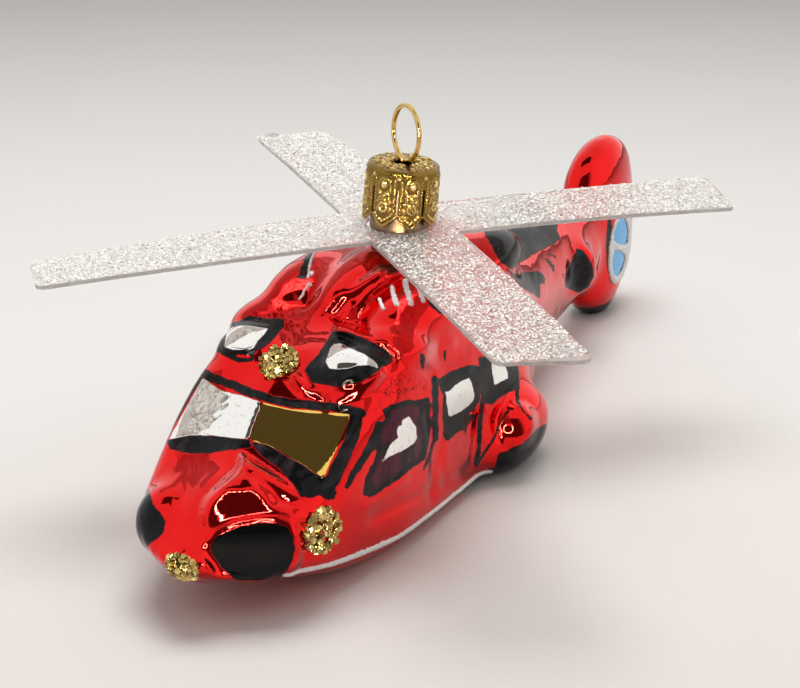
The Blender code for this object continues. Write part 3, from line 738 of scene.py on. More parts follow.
def neighbour_mean(edges, places):
    """For each vertex, the mean place of the vertices that it shares an edge with."""
    first, second = edges[:, 0], edges[:, 1]
    count = len(places)
    degree = np.maximum(np.bincount(edges.ravel(), minlength=count), 1)
    sums = [
        np.bincount(first, places[second, k], count) + np.bincount(second, places[first, k], count)
        for k in range(3)]
    return np.stack(sums, axis=1) / degree[:, None]


def along_each(ways, normals):
    """How far each way goes along its own normal."""
    return np.einsum("ij,ij->i", ways, normals)


def fill_creases(mesh, rounds):
    """Lets the skin bridge its creases softly, as blown glass does, and leaves what bulges."""
    edges = edge_ends(mesh)
    for done in range(rounds):
        if done % NORMALS_HOLD == 0:
            places, normals = vertex_places(mesh)
        step = along_each(neighbour_mean(edges, places) - places, normals)
        places += normals * np.maximum(step - LEAST_CREASE * MM, 0.0)[:, None]
        if done % NORMALS_HOLD == NORMALS_HOLD - 1:
            move_vertices(mesh, places)
    move_vertices(mesh, places)


def seen_from_camera(places, normals):
    """Which points face the photograph's camera."""
    return along_each(np.array(CAMERA_PLACE) - places, normals) > 0.0


def photo_pixels(places):
    """Where points show in the photograph, in pixels, and how many millimetres a pixel is there."""
    from_camera = places - np.array(CAMERA_PLACE)
    depth = from_camera @ np.array(CAMERA_FORWARD)
    across = PHOTO_SIZE[0] / 2 + CAMERA_FOCAL * (from_camera @ np.array(CAMERA_RIGHT)) / depth
    down = PHOTO_SIZE[1] / 2 - CAMERA_FOCAL * (from_camera @ np.array(CAMERA_UP)) / depth
    return np.stack((across, down), axis=1), depth / CAMERA_FOCAL / MM


def on_port_side(places, normals):
    """Points and normals as if all lay to port, and the factors that bring them back."""
    mirror = np.where(places[:, :1] < 0, [[-1.0, 1.0, 1.0]], [[1.0, 1.0, 1.0]])
    return places * mirror, normals * mirror, mirror


def near_route(pixels, seen, route):
    """The numbers of the seen points that lie round a route or an outline."""
    low, high = np.min(route, axis=0) - PAINT_MARGIN, np.max(route, axis=0) + PAINT_MARGIN
    return np.nonzero(seen & np.all((pixels > low) & (pixels < high), axis=1))[0]


def line_distance(points, start, end):
    """How far points are from one straight line between two pixels."""
    start, end = np.array(start, float), np.array(end, float)
    along = end - start
    share = np.clip(((points - start) @ along) / (along @ along), 0.0, 1.0)
    return np.linalg.norm(points - start - share[:, None] * along, axis=1)


def route_distance(points, route):
    """How far points are from an open route."""
    return np.min([line_distance(points, a, b) for a, b in zip(route, route[1:])], axis=0)


def outline_distance(points, outline):
    """How far points are from a closed outline: negative inside."""
    closed = list(outline) + [outline[0]]
    far = route_distance(points, closed)
    inside = np.zeros(len(points), bool)
    for (ax, ay), (bx, by) in zip(closed, closed[1:]):
        if ay != by:
            crosses = (ay > points[:, 1]) != (by > points[:, 1])
            inside ^= crosses & (points[:, 0] < ax + (bx - ax) * (points[:, 1] - ay) / (by - ay))
    return np.where(inside, -far, far)


def paint_distance(pixels, scale, seen, outlines=(), lines=()):
    """Millimetres from the nearest of some painted outlines and lines, where the glass is seen."""
    nearest = np.full(len(pixels), NO_PAINT)
    strokes = [(outline_distance, outline, 0.0) for outline in dict(outlines).values()]
    strokes += [(route_distance, route, half_width) for half_width, route in lines]
    for distance, route, half_width in strokes:
        near = near_route(pixels, seen, route)
        far = (distance(pixels[near], route) - half_width) * scale[near]
        nearest[near] = np.minimum(nearest[near], far)
    return nearest


def press_faces(places, normals, faces):
    """Presses faces in along the lines of sight, so that their outlines stay where they show."""
    eye = np.array(CAMERA_PLACE)
    pixels, scale = photo_pixels(places)
    rays = places - eye
    reach = np.linalg.norm(rays, axis=1)
    rays /= reach[:, None]
    faced = -along_each(rays, normals)
    for _, outline, spot, azimuth, elevation, long_radius, cross_radius, roll, rise, soft in faces:
        near = near_route(pixels, faced > 0.0, outline)
        by_spot = near[np.linalg.norm(pixels[near] - spot, axis=1) < SPOT_REACH]
        anchor = places[by_spot[np.argmin(reach[by_spot])]].copy()
        near = near[np.linalg.norm(places[near] - anchor, axis=1) < FACE_REACH * MM]
        turn, lift, roll = math.radians(azimuth), math.radians(elevation), math.radians(roll)
        level = np.array((math.cos(turn), math.sin(turn), 0.0))
        facing = np.array((
            math.sin(turn) * math.cos(lift), -math.cos(turn) * math.cos(lift), math.sin(lift)))
        level = math.cos(roll) * level + math.sin(roll) * np.cross(facing, level)
        curves = [(way, radius * MM) for way, radius in (
            (level, long_radius), (np.cross(facing, level), cross_radius)) if radius]
        from_edge = outline_distance(pixels[near], outline) * scale[near] / soft
        share = np.clip(0.5 - from_edge, 0.0, 1.0)
        share = share * share * (3.0 - 2.0 * share)
        share *= np.clip(faced[near] / PRESS_GRAZING, 0.0, 1.0)
        sag = 0.0
        for _ in range(SAG_ROUNDS):
            goal = (rise * MM - sag + (anchor - eye) @ facing) / (rays[near] @ facing)
            offset = eye + rays[near] * goal[:, None] - anchor
            sag = sum((offset @ way) ** 2 / (2.0 * radius) for way, radius in curves)
        step = np.clip(goal - reach[near], -PRESS_LIMIT * MM, PRESS_LIMIT * MM) * share
        places[near] += rays[near] * step[:, None]
        reach[near] += step


def press_lines(places, normals, lines):
    """Presses soft lines into the glass, or raises them."""
    pixels, scale = photo_pixels(places)
    seen = seen_from_camera(places, normals)
    for depth, half_width, route in lines:
        near = near_route(pixels, seen, route)
        far = route_distance(pixels[near], route) * scale[near] / half_width
        places[near] -= normals[near] * (depth * MM * np.exp(-far ** 2))[:, None]


def press_details(mesh):
    """Presses the mould's fine shapes into the glass: those of one side, then those of both."""
    places, normals = vertex_places(mesh)
    before = places.copy()
    press_faces(places, normals, PRESSED_SEEN)
    press_lines(places, normals, LINES_SEEN)
    port_places, port_normals, mirror = on_port_side(places, normals)
    press_faces(port_places, port_normals, PRESSED_SIDES)
    press_lines(port_places, port_normals, LINES_SIDES)
    both_sides = (before[:, 0] > 0) | ~seen_from_camera(before, normals)
    places = np.where(both_sides[:, None], port_places * mirror, places)
    places[:, 2] = np.maximum(places[:, 2], 0.0)
    moved = np.linalg.norm(places - before, axis=1) > LEAST_PRESS * MM
    edges = edge_ends(mesh)
    for _ in range(PRESS_ROUNDING):
        means = neighbour_mean(edges, places)
        places[moved] += 0.5 * (means[moved] - places[moved])
    move_vertices(mesh, places)


def tail_rim_outline():
    """The middle line of the tail rotor's rim, as (y, z) in millimetres."""
    (y, z), (half_y, half_z) = TAIL_RIM_MIDDLE, TAIL_RIM_RADII
    half_y, half_z = half_y - TAIL_RIM_HALF_WIDTH, half_z - TAIL_RIM_HALF_WIDTH
    turns = [math.pi * k / 12 for k in range(24)]
    return [(y + half_y * math.cos(t), z + half_z * math.sin(t)) for t in turns]


def add_paint_masks(mesh):
    """Keeps, at each vertex, how far every paint's edge is: negative where the paint lies."""
    places, normals = vertex_places(mesh)
    seen = (*photo_pixels(places), seen_from_camera(places, normals))
    port_places, port_normals, _ = on_port_side(places, normals)
    sides = (*photo_pixels(port_places), seen_from_camera(port_places, port_normals))

    side, along, height = np.abs(places[:, 0]) / MM, places[:, 1] / MM, places[:, 2] / MM
    fin_foot = np.where(along > FIN_FOOT_FRONT, height - FIN_FOOT_HEIGHT, NO_PAINT)
    start, end = POD_FOOT_SPAN
    pod_foot = np.where(
        (side > POD_FOOT_INSIDE) & (along > start) & (along < end),
        height - (POD_FOOT_HEIGHT + POD_FOOT_SLOPE * (along - POD_FOOT_HEIGHT_AT)), NO_PAINT)
    red = np.minimum(paint_distance(*seen, (), RED_LINES_SEEN),
                     paint_distance(*sides, (), RED_LINES_SIDES))
    black = np.minimum(paint_distance(*seen, BLACK_SEEN, BLACK_LINES_SEEN),
                       paint_distance(*sides, BLACK_SIDES, BLACK_LINES_SIDES))
    black = np.maximum(np.minimum(black, np.minimum(fin_foot, pod_foot)), -red)
    front_frame = {"frame": BLACK_SIDES["front side frame"]}
    paints = {
        "black_paint": black,
        "bare_silver": np.minimum(paint_distance(*seen, SILVER_SEEN),
                                  paint_distance(*sides, SILVER_SIDES)),
        "thin_paint": paint_distance(*sides, front_frame) + FRAME_BRUSH,
        "wrinkled": paint_distance(*sides, WRINKLED_SIDES),
        "lamp_paint": paint_distance(*sides, {"lamp": BLACK_SIDES["chin lamp"]}),
        "amber_lacquer": paint_distance(*seen, AMBER_SEEN),
        "blue_paint": np.where(side > FIN_FACE_FROM, outline_distance(
            places[:, 1:] / MM, tail_rim_outline()), NO_PAINT),
    }
    for name, values in paints.items():
        layer = mesh.attributes.new(name, "FLOAT", "POINT")
        layer.data.foreach_set("value", values.astype(np.float32))


class Number:
    """A number that shader nodes work out, and that reckons as a plain number does."""

    def __init__(self, socket):
        self.socket = socket
        self.tree = socket.id_data

    def reckon(self, operation, first, second=0.0):
        """The result of a Math node on two numbers."""
        return Number(add_node(
            self.tree, "Math", {0: first, 1: second}, operation=operation).outputs[0])

    def __add__(self, other):
        return self.reckon("ADD", self, other)

    def __sub__(self, other):
        return self.reckon("SUBTRACT", self, other)

    def __rsub__(self, other):
        return self.reckon("SUBTRACT", other, self)

    def __mul__(self, other):
        return self.reckon("MULTIPLY", self, other)

    def __truediv__(self, other):
        return self.reckon("DIVIDE", self, other)

    def __abs__(self):
        return self.reckon("ABSOLUTE", self)

    def at_least(self, other):
        """The greater of the two."""
        return self.reckon("MAXIMUM", self, other)

    def at_most(self, other):
        """The smaller of the two."""
        return self.reckon("MINIMUM", self, other)


def give(socket, value):
    """Links a node's output to a socket, or sets the socket to a number or a colour."""
    if isinstance(value, Number):
        value = value.socket
    if isinstance(value, bpy.types.NodeSocket):
        socket.id_data.links.new(value, socket)
    elif socket.type == "RGBA":
        socket.default_value = (*value, 1.0)
    else:
        socket.default_value = value


def add_node(tree, kind, inputs=None, **settings):
    """Adds a shader node. An input takes a number, a colour or another node's output."""
    made = tree.nodes.new("ShaderNode" + kind)
    for name, value in settings.items():
        setattr(made, name, value)
    for name, value in (inputs or {}).items():
        give(made.inputs[name], value)
    return made


def attribute(tree, name):
    """A number that the mesh keeps at each vertex or face."""
    return Number(add_node(tree, "Attribute", attribute_name=name).outputs["Fac"])


def ramp(value, low, high, start=0.0, end=1.0):
    """Maps value from low..high to start..end, and holds it there."""
    return Number(add_node(value.tree, "MapRange", {
        "Value": value, "From Min": low, "From Max": high,
        "To Min": start, "To Max": end}).outputs[0])


def mixed(share, first, second):
    """Two colours mixed by share."""
    return add_node(share.tree, "Mix", {0: share, 6: first, 7: second}, data_type="RGBA").outputs[2]


def shaded(value, stops):
    """A colour that goes through stops, (place, colour), as value goes from 0 to 1."""
    made = add_node(value.tree, "ValToRGB", {"Fac": value})
    elements = made.color_ramp.elements
    for element, (place, colour) in zip(elements, (stops[0], stops[-1])):
        element.position, element.color = place, (*colour, 1.0)
    for place, colour in stops[1:-1]:
        elements.new(place).color = (*colour, 1.0)
    return made.outputs["Color"]


def grain(tree, scale, detail=2.0, stretch=(1.0, 1.0, 1.0), rough=0.5):
    """Noise fixed to the piece, with lumps of about 1/scale metres."""
    place = add_node(tree, "TexCoord").outputs["Object"]
    if stretch != (1.0, 1.0, 1.0):
        place = add_node(tree, "Mapping", {"Vector": place, "Scale": stretch}).outputs[0]
    return Number(add_node(tree, "TexNoise", {
        "Vector": place, "Scale": scale, "Detail": detail, "Roughness": rough}).outputs["Fac"])


def bump(height, strength, distance):
    """A bump normal from a height, distance in metres."""
    return add_node(height.tree, "Bump", {
        "Height": height, "Strength": strength, "Distance": distance}).outputs[0]


def new_finish(name):
    """An empty Principled material: (material, tree, shader)."""
    made = bpy.data.materials.new(name)
    made.use_nodes = True
    return made, made.node_tree, made.node_tree.nodes["Principled BSDF"]


def set_shader(shader, **values):
    """Sets or links the Principled shader's sockets, by name with _ for a space."""
    for name, value in values.items():
        give(shader.inputs[name.replace("_", " ")], value)


def painted_glass(settings):
    """Silvered glass under red lacquer, with its black, bare, amber and blue places."""
    finish, tree, shader = new_finish("painted silvered glass")
    ragged = (grain(tree, 900.0, 3.0) - 0.5) * 0.5

    def mask(name, soft=0.05, wander=1.0):
        return ramp(attribute(tree, name) + ragged * wander, -soft, soft, 1.0, 0.0)

    black, silver = mask("black_paint"), mask("bare_silver", wander=0.5)
    amber, blue = mask("amber_lacquer", wander=0.4), mask("blue_paint", wander=0.5)
    lamp, wrinkled = mask("lamp_paint", 0.3, 0.0), attribute(tree, "wrinkled")
    thick = ramp(grain(tree, 160.0, 3.0), 0.35, 0.75)
    lacquer = mixed(thick, settings.lacquer, settings.deep_lacquer)
    # Painted shade: dark lines in the folds of the wrinkled glass over the front side window
    painted_fold_shade = ramp(abs(grain(tree, 520.0, 3.0) - 0.5), 0.004, 0.022, 0.85, 0.0)
    lacquer = mixed(painted_fold_shade * ramp(wrinkled, -1.0, 0.3, 1.0, 0.0), lacquer, FOLD_SHADE_RED)
    # Brush streaks in the black paint with a painted sheen: lighter streaks stand in for its glossy
    # grey reflections
    streaks_and_sheen = ramp(grain(tree, 620.0, 4.0, (1.0, 0.25, 1.0)), 0.47, 0.68)
    brushed = mixed(streaks_and_sheen * (1.0 - lamp), settings.black, STREAK_SHEEN_BLACK)
    worn = ramp(grain(tree, 620.0, 4.0, (1.0, 1.0, 0.4)), 0.40, 0.56)
    thin_black = mask("thin_paint", 0.2, 1.4) * worn
    brushed = mixed(thin_black, brushed, WINE_RED)
    crackle = ramp(grain(tree, 1500.0, 5.0, (1.0, 1.0, 0.45), 0.7), 0.58, 0.66)
    colour = mixed(amber, lacquer, settings.amber)
    colour = mixed(black, colour, brushed)
    colour = mixed(blue, colour, settings.blue)
    colour = mixed(silver, colour, mixed(crackle, settings.silver, DULL_SILVER))
    covered = black * (1.0 - silver) * (1.0 - blue) * (1.0 - thin_black * 0.7)
    waves = silver * grain(tree, 260.0, 3.0, (1.0, 1.0, 0.3))
    folds = abs(grain(tree, 430.0, 3.0) - 0.5) * ramp(wrinkled, -1.2, 0.4, 14.0, 0.0)
    relief = covered * 0.6 + grain(tree, 420.0, 2.0) * 0.5 + waves * 2.2 + folds
    set_shader(
        shader, Base_Color=colour, Metallic=1.0 - covered, Specular_IOR_Level=0.12,
        Roughness=ramp(covered - lamp, 0.0, 1.0, 0.03, 0.125), Normal=bump(relief, 0.35, 0.00006),
        Coat_Weight=0.12 - covered * 0.10, Coat_Roughness=0.02, Coat_IOR=1.45)
    return finish


def shaded_tarnished_neck():
    """Silvered glass of the neck, tarnished, with painted shade that darkens it to a dark gold
    under the cap.
    """
    finish, tree, shader = new_finish("silvered neck glass")
    tarnish_and_shade = mixed(grain(tree, 700.0, 3.0), *NECK_TARNISH_AND_SHADE)
    set_shader(shader, Base_Color=tarnish_and_shade, Metallic=0.95, Roughness=0.34)
    return finish


def frosted_sheet(settings):
    """Milky plastic sheet that lets some light and colour through."""
    finish, tree, shader = new_finish("frosted plastic sheet")
    milk = mixed(grain(tree, 260.0, 3.0), settings.plastic, CLOUDED_PLASTIC)
    set_shader(
        shader, Base_Color=milk, Roughness=0.28, Transmission_Weight=0.86, IOR=1.2,
        Normal=bump(grain(tree, 1500.0, 2.0), 0.2, 0.0001))
    return finish


def glitter_flakes():
    """White iridescent flakes, each with its own tint and shine."""
    finish, tree, shader = new_finish("white glitter flakes")
    own = attribute(tree, "flake")
    set_shader(
        shader, Base_Color=shaded(own, FLAKE_TINTS), Metallic=ramp(own, 0.88, 0.95, 0.0, 0.8),
        Roughness=ramp(own, 0.5, 1.0, 0.6, 0.2), Coat_Weight=0.25, Coat_Roughness=0.15)
    return finish


def pressed_gold(settings):
    """Thin gold-coloured sheet metal, with painted shade on its low places and wear with a painted
    highlight on its high places.
    """
    finish, tree, shader = new_finish("pressed gold sheet")
    raised = attribute(tree, "raised")
    patina_and_painted_light = mixed(grain(tree, 900.0, 3.0), settings.gold, PATINA_GOLD)
    # Painted shade on the low places of the embossing, and wear with a painted highlight on the
    # high places
    patina_and_painted_light = mixed(ramp(raised, 0.0, 0.10), HOLLOW_SHADE_GOLD, patina_and_painted_light)
    patina_and_painted_light = mixed(ramp(raised, 0.16, 0.28), patina_and_painted_light, WEAR_AND_HIGHLIGHT_GOLD)
    set_shader(
        shader, Base_Color=patina_and_painted_light, Metallic=1.0,
        Roughness=ramp(grain(tree, 2500.0, 2.0), 0.3, 0.7, 0.17, 0.30),
        Normal=bump(grain(tree, 5200.0, 2.0), 0.25, 0.00008))
    return finish


def drawn_wire(settings):
    """Bright drawn brass wire."""
    finish, tree, shader = new_finish("drawn gold wire")
    tone = mixed(grain(tree, 600.0, 2.0), settings.wire, DULL_WIRE)
    set_shader(
        shader, Base_Color=tone, Metallic=1.0, Roughness=0.16,
        Normal=bump(grain(tree, 4000.0, 2.0, (1.0, 1.0, 0.15)), 0.1, 0.00005))
    return finish


def gold_chips():
    """Coarse gold glitter, each chip with its own tone."""
    finish, tree, shader = new_finish("coarse gold glitter")
    own = attribute(tree, "flake")
    set_shader(shader, Base_Color=mixed(own, *CHIP_GOLDS), Metallic=1.0,
               Roughness=ramp(own, 0.0, 1.0, 0.32, 0.14))
    return finish


def glitter_paint():
    """White paint full of fine glitter."""
    finish, tree, shader = new_finish("white glitter paint")
    grit = grain(tree, 3800.0, 3.0)
    set_shader(
        shader, Base_Color=mixed(ramp(grit, 0.35, 0.7), *PAINT_WHITES), Metallic=0.1,
        Roughness=ramp(grit, 0.3, 0.7, 0.55, 0.2), Coat_Weight=0.3, Normal=bump(grit, 0.8, 0.00025))
    return finish


def pale_floor():
    """The pale surface, with painted shade that makes it a little darker far behind the ornament.
    """
    finish, tree, shader = new_finish("pale surface")
    place = add_node(tree, "SeparateXYZ", {0: add_node(tree, "TexCoord").outputs["Object"]})
    x, y = Number(place.outputs[0]), Number(place.outputs[1])
    depth = y * FLOOR_DEPTH_WAY[1] - x * FLOOR_DEPTH_WAY[0]
    # Painted shade: the surface's colour darkens far behind the ornament, where less light falls
    painted_falloff = shaded(ramp(depth, *FLOOR_DEPTHS), FLOOR_PAINTED_SHADE)
    tone = mixed(grain(tree, 30.0, 3.0) * 0.04, painted_falloff, FLOOR_MOTTLE)
    set_shader(shader, Base_Color=tone, Roughness=0.6, Specular_IOR_Level=0.2)
    return finish


def colour_setting(name, description, default):
    """A colour that the settings hold."""
    return FloatVectorProperty(
        name=name, description=description, default=default, subtype="COLOR", min=0.0, max=1.0)


class OrnamentSettings(PropertyGroup):
    """Sizes and colours that change the ornament's looks."""
    glass_detail: FloatProperty(
        name="Glass detail", description="Size of the cells that the glass is skinned with",
        default=0.00036, min=0.0003, max=0.002, unit="LENGTH")
    glass_softness: IntProperty(
        name="Glass softness", description="How often the junctions of the glass are smoothed",
        default=8)
    bridging: IntProperty(
        name="Bridging", description="How far the skin bridges its creases", default=60)
    ripple: FloatProperty(
        name="Ripple", description="Height of the blown glass's unevenness",
        default=0.00009, unit="LENGTH")
    flakes: IntProperty(
        name="Glitter flakes", description="Flakes of white glitter on the rotor", default=27000)
    chips: IntProperty(
        name="Gold chips", description="Chips in one patch of gold glitter", default=230)
    lacquer: colour_setting("Lacquer", "Red lacquer over the silver", (0.84, 0.013, 0.012))
    deep_lacquer: colour_setting(
        "Deep lacquer", "Red lacquer where it is thick", (0.72, 0.008, 0.009))
    black: colour_setting("Black paint", "Brushed black", (0.004, 0.004, 0.0045))
    silver: colour_setting("Bare silver", "Silvering without lacquer", (0.93, 0.92, 0.89))
    amber: colour_setting(
        "Amber lacquer", "Gold-coloured pane of the windscreen", (0.95, 0.62, 0.14))
    blue: colour_setting("Blue paint", "Blue inside the tail rotor's rim", (0.16, 0.45, 0.78))
    plastic: colour_setting("Plastic", "Milky sheet of the rotor", (0.88, 0.86, 0.83))
    gold: colour_setting("Cap gold", "Pressed metal of the cap", (0.56, 0.38, 0.12))
    wire: colour_setting("Wire gold", "Metal of the hanging wire", (0.78, 0.56, 0.20))


class GlassBuilder(Operator):
    """Blows the glass body and its neck, and paints them"""
    bl_idname = "ornament.glass"
    bl_label = "Painted glass"

    def execute(self, context):
        settings = context.scene.ornament
        bm = bmesh.new()
        mould(bm)
        glass = new_piece("painted_glass", bm, None, painted_glass(settings))
        mesh = skinned(glass, 2.0 * settings.glass_detail, FIRST_SOFTNESS)
        fill_creases(mesh, settings.bridging)
        mesh = skinned(glass, settings.glass_detail, settings.glass_softness)
        places, normals = vertex_places(mesh)
        ripple = np.array([sum(share * noise.noise(Vector(p) * waves) for waves, share in SWELLS)
                           for p in places])
        places += normals * (ripple * settings.ripple)[:, None]
        places[:, 2] = np.maximum(places[:, 2], 0.0)
        move_vertices(mesh, places)
        press_details(mesh)
        mesh.shade_smooth()
        add_paint_masks(mesh)
        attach(glass, "ornament")
        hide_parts("glass_body")
        self.neck()
        return {"FINISHED"}

    def neck(self):
        """The open glass neck that carries the rotor and the cap."""
        bm = bmesh.new()
        rim, lip = NECK_TOP - 2.0 * NECK_LIP, NECK_LIP
        profile = [
            (NECK_RADIUS + 0.5, NECK_FOOT), (NECK_RADIUS, NECK_FOOT + 1.2), (NECK_RADIUS, rim),
            (NECK_RADIUS - lip, NECK_TOP), (NECK_BORE_RADIUS + lip, NECK_TOP),
            (NECK_BORE_RADIUS, rim), (NECK_BORE_RADIUS, NECK_FOOT + 2.6), (0.2, NECK_FOOT + 2.0)]
        rings = []
        for k in range(NECK_COLUMNS):
            angle = 2 * math.pi * k / NECK_COLUMNS
            rings.append([
                bm.verts.new(Vector((r * math.cos(angle), r * math.sin(angle), z)) * MM)
                for r, z in profile])
        for here, there in zip(rings, rings[1:] + rings[:1]):
            for k in range(len(profile) - 1):
                bm.faces.new((here[k], there[k], there[k + 1], here[k + 1]))
        neck = new_piece("glass_neck", bm, "ornament", shaded_tarnished_neck())


def sheet_place(blade, along, across, above=0.0):
    """One point of the rotor's sheet, in metres, above its upper face."""
    degrees, reach, _, lift = blade
    turn = math.radians(degrees)
    share = along / reach
    leading = across / BLADE_TIP_HALF_WIDTH
    z = ROTOR_HUB_TOP - ROTOR_DROOP * share ** 2 + lift * leading * share ** 2 + above
    return Vector((
        along * math.cos(turn) - across * math.sin(turn),
        along * math.sin(turn) + across * math.cos(turn), z)) * MM


def blade_half_width(blade, share):
    """The blade's half width at a share of its reach, with its rounded tip corners."""
    half = BLADE_ROOT_HALF_WIDTH + (BLADE_TIP_HALF_WIDTH - BLADE_ROOT_HALF_WIDTH) * share
    from_tip = (1.0 - share) * blade[1]
    if from_tip < BLADE_CORNER:
        inside = BLADE_CORNER - from_tip
        half -= BLADE_CORNER - math.sqrt(max(0.0, BLADE_CORNER ** 2 - inside ** 2))
    return half


class RotorBuilder(Operator):
    """Cuts the frosted cross and strews it with glitter flakes"""
    bl_idname = "ornament.rotor"
    bl_label = "Glitter rotor"

    def execute(self, context):
        settings = context.scene.ornament
        bm = bmesh.new()
        rim = []
        for blade in BLADES:
            rim += self.blade(bm, blade)
        middle = bm.verts.new(Vector((0, 0, ROTOR_HUB_TOP)) * MM)
        for k in range(len(rim)):
            if k % (BLADE_COLUMNS + 1) != BLADE_COLUMNS:
                bm.faces.new((rim[k], rim[k + 1], middle))
        bmesh.ops.remove_doubles(bm, verts=bm.verts[:], dist=0.05 * MM)
        bmesh.ops.recalc_face_normals(bm, faces=bm.faces[:])
        hole = bmesh.new()
        bmesh.ops.create_cone(
            hole, cap_ends=True, segments=96, radius1=ROTOR_HOLE_RADIUS * MM,
            radius2=ROTOR_HOLE_RADIUS * MM, depth=0.01,
            matrix=Matrix.Translation((0, 0, ROTOR_HUB_TOP * MM)))
        punch = new_piece("hole punch", hole, None)
        sheet = new_piece("frosted_rotor", bm, None, frosted_sheet(settings))
        thickened(sheet, ROTOR_SHEET)
        cut = sheet.modifiers.new("hole", "BOOLEAN")
        cut.operation, cut.solver, cut.object = "DIFFERENCE", "EXACT", punch
        edge = sheet.modifiers.new("soft edge", "BEVEL")
        edge.width, edge.segments = BLADE_EDGE_ROUNDING * MM, 3
        edge.limit_method, edge.angle_limit = "ANGLE", math.radians(50)
        settle(sheet).shade_smooth()
        bpy.data.objects.remove(punch)
        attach(sheet, "rotor")
        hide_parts("rotor")
        self.flakes(settings)
        return {"FINISHED"}

    def blade(self, bm, blade):
        """Adds one blade, from the hub square's side to its rounded tip, as rows across it."""
        _, reach, slant, _ = blade
        corner = BLADE_CORNER / reach
        shares = [k / BLADE_ROWS for k in range(BLADE_ROWS)]
        shares += [1.0 - corner * (1.0 - math.sin(math.radians(a))) for a in range(0, 91, 15)]
        rows = []
        for share in sorted(set(shares)):
            half = blade_half_width(blade, share)
            row = []
            for k in range(BLADE_COLUMNS + 1):
                leading = 2.0 * k / BLADE_COLUMNS - 1.0
                tip = reach + slant * leading
                along = BLADE_ROOT_HALF_WIDTH + (tip - BLADE_ROOT_HALF_WIDTH) * share
                row.append(bm.verts.new(sheet_place(blade, along, half * leading)))
            rows.append(row)
        for low, high in zip(rows, rows[1:]):
            for k in range(BLADE_COLUMNS):
                bm.faces.new((low[k], high[k], high[k + 1], low[k + 1]))
        return rows[0]

    def flakes(self, settings):
        """Thousands of small tilted flakes on the cross, thinner at its edges and round its hub."""
        chance = random.Random(5)
        bm = bmesh.new()
        own = bm.faces.layers.float.new("flake")
        made = 0
        while made < settings.flakes:
            blade = BLADES[made % len(BLADES)]
            along = chance.uniform(0.0, blade[1] - 0.5)
            half = blade_half_width(blade, along / blade[1])
            across = chance.uniform(-half, half)
            from_edge = half - abs(across)
            if along < BLADE_ROOT_HALF_WIDTH and abs(across) > along:
                continue
            on_hole = math.hypot(along, across) < ROTOR_HOLE_RADIUS + 0.2
            if on_hole or chance.random() > THINNEST_GLITTER + from_edge / THIN_EDGE_REACH:
                continue
            if chance.random() > (
                    THINNEST_GLITTER + (1.0 - THINNEST_GLITTER) * along / THIN_GLITTER_REACH):
                continue
            size = chance.choice(FLAKE_SIZES) * chance.uniform(0.85, 1.15)
            place = sheet_place(blade, along, across, chance.uniform(0.03, 0.08))
            tilt = Matrix.Rotation(
                math.radians(abs(chance.gauss(0.0, FLAKE_TILT))), 3, Vector(
                    (chance.uniform(-1, 1), chance.uniform(-1, 1), 0.001)).normalized())
            add_flake(bm, own, place, tilt, size, chance)
            made += 1
        glitter = new_piece("rotor_glitter", bm, "rotor", glitter_flakes())
        glitter.data.shade_flat()


def hexagon(bm, place, turn, size, start=0.0, level=0.0):
    """Adds the six corners of a flake, sizes in mm."""
    corners = []
    for k in range(6):
        angle = start + math.pi * k / 3
        corner = Vector((size * math.cos(angle), size * math.sin(angle), level))
        corners.append(bm.verts.new(place + turn @ corner * MM))
    return corners


def add_flake(bm, own, place, turn, size, chance):
    """One six-sided flake, with its own number for tint and shine."""
    corners = hexagon(bm, place, turn, size, chance.uniform(0, math.pi))
    bm.faces.new(corners)[own] = chance.random()


def add_chip(bm, own, place, turn, chance):
    """One thick six-sided chip of gold glitter."""
    size, shade = chance.uniform(*CHIP_SIZES), chance.random()
    low, high = (
        hexagon(bm, place, turn, size, level=level)
        for level in (-CHIP_HALF_THICK, CHIP_HALF_THICK))
    sides = [(low[k], low[(k + 1) % 6], high[(k + 1) % 6], high[k]) for k in range(6)]
    for corners in [low[::-1], high] + sides:
        bm.faces.new(corners)[own] = shade


def raise_dome(relief, across, height, middle, radii, tall):
    """Raises one rounded bead or leaf on a relief."""
    far = ((across - middle[0]) / radii[0]) ** 2 + ((height - middle[1]) / radii[1]) ** 2
    np.maximum(relief, tall * np.sqrt(np.maximum(1.0 - far, 0.0)), out=relief)


def raise_hoop(relief, across, height, middle, radii, wide, tall):
    """Raises one oval wire on a relief."""
    far = np.hypot((across - middle[0]) / radii[0], (height - middle[1]) / radii[1]) - 1.0
    far = far * min(radii) / wide
    np.maximum(relief, tall * np.sqrt(np.maximum(1.0 - far ** 2, 0.0)), out=relief)


def tab_relief(across, height):
    """The embossing of one tab, in millimetres, the same on both halves of the tab."""
    relief = np.zeros_like(across)
    for side in (-1.0, 1.0):
        for (x, z), *rest in TAB_DOMES:
            raise_dome(relief, across, height, (x * side, z), *rest)
        for (x, z), *rest in TAB_HOOPS:
            raise_hoop(relief, across, height, (x * side, z), *rest)
    return relief


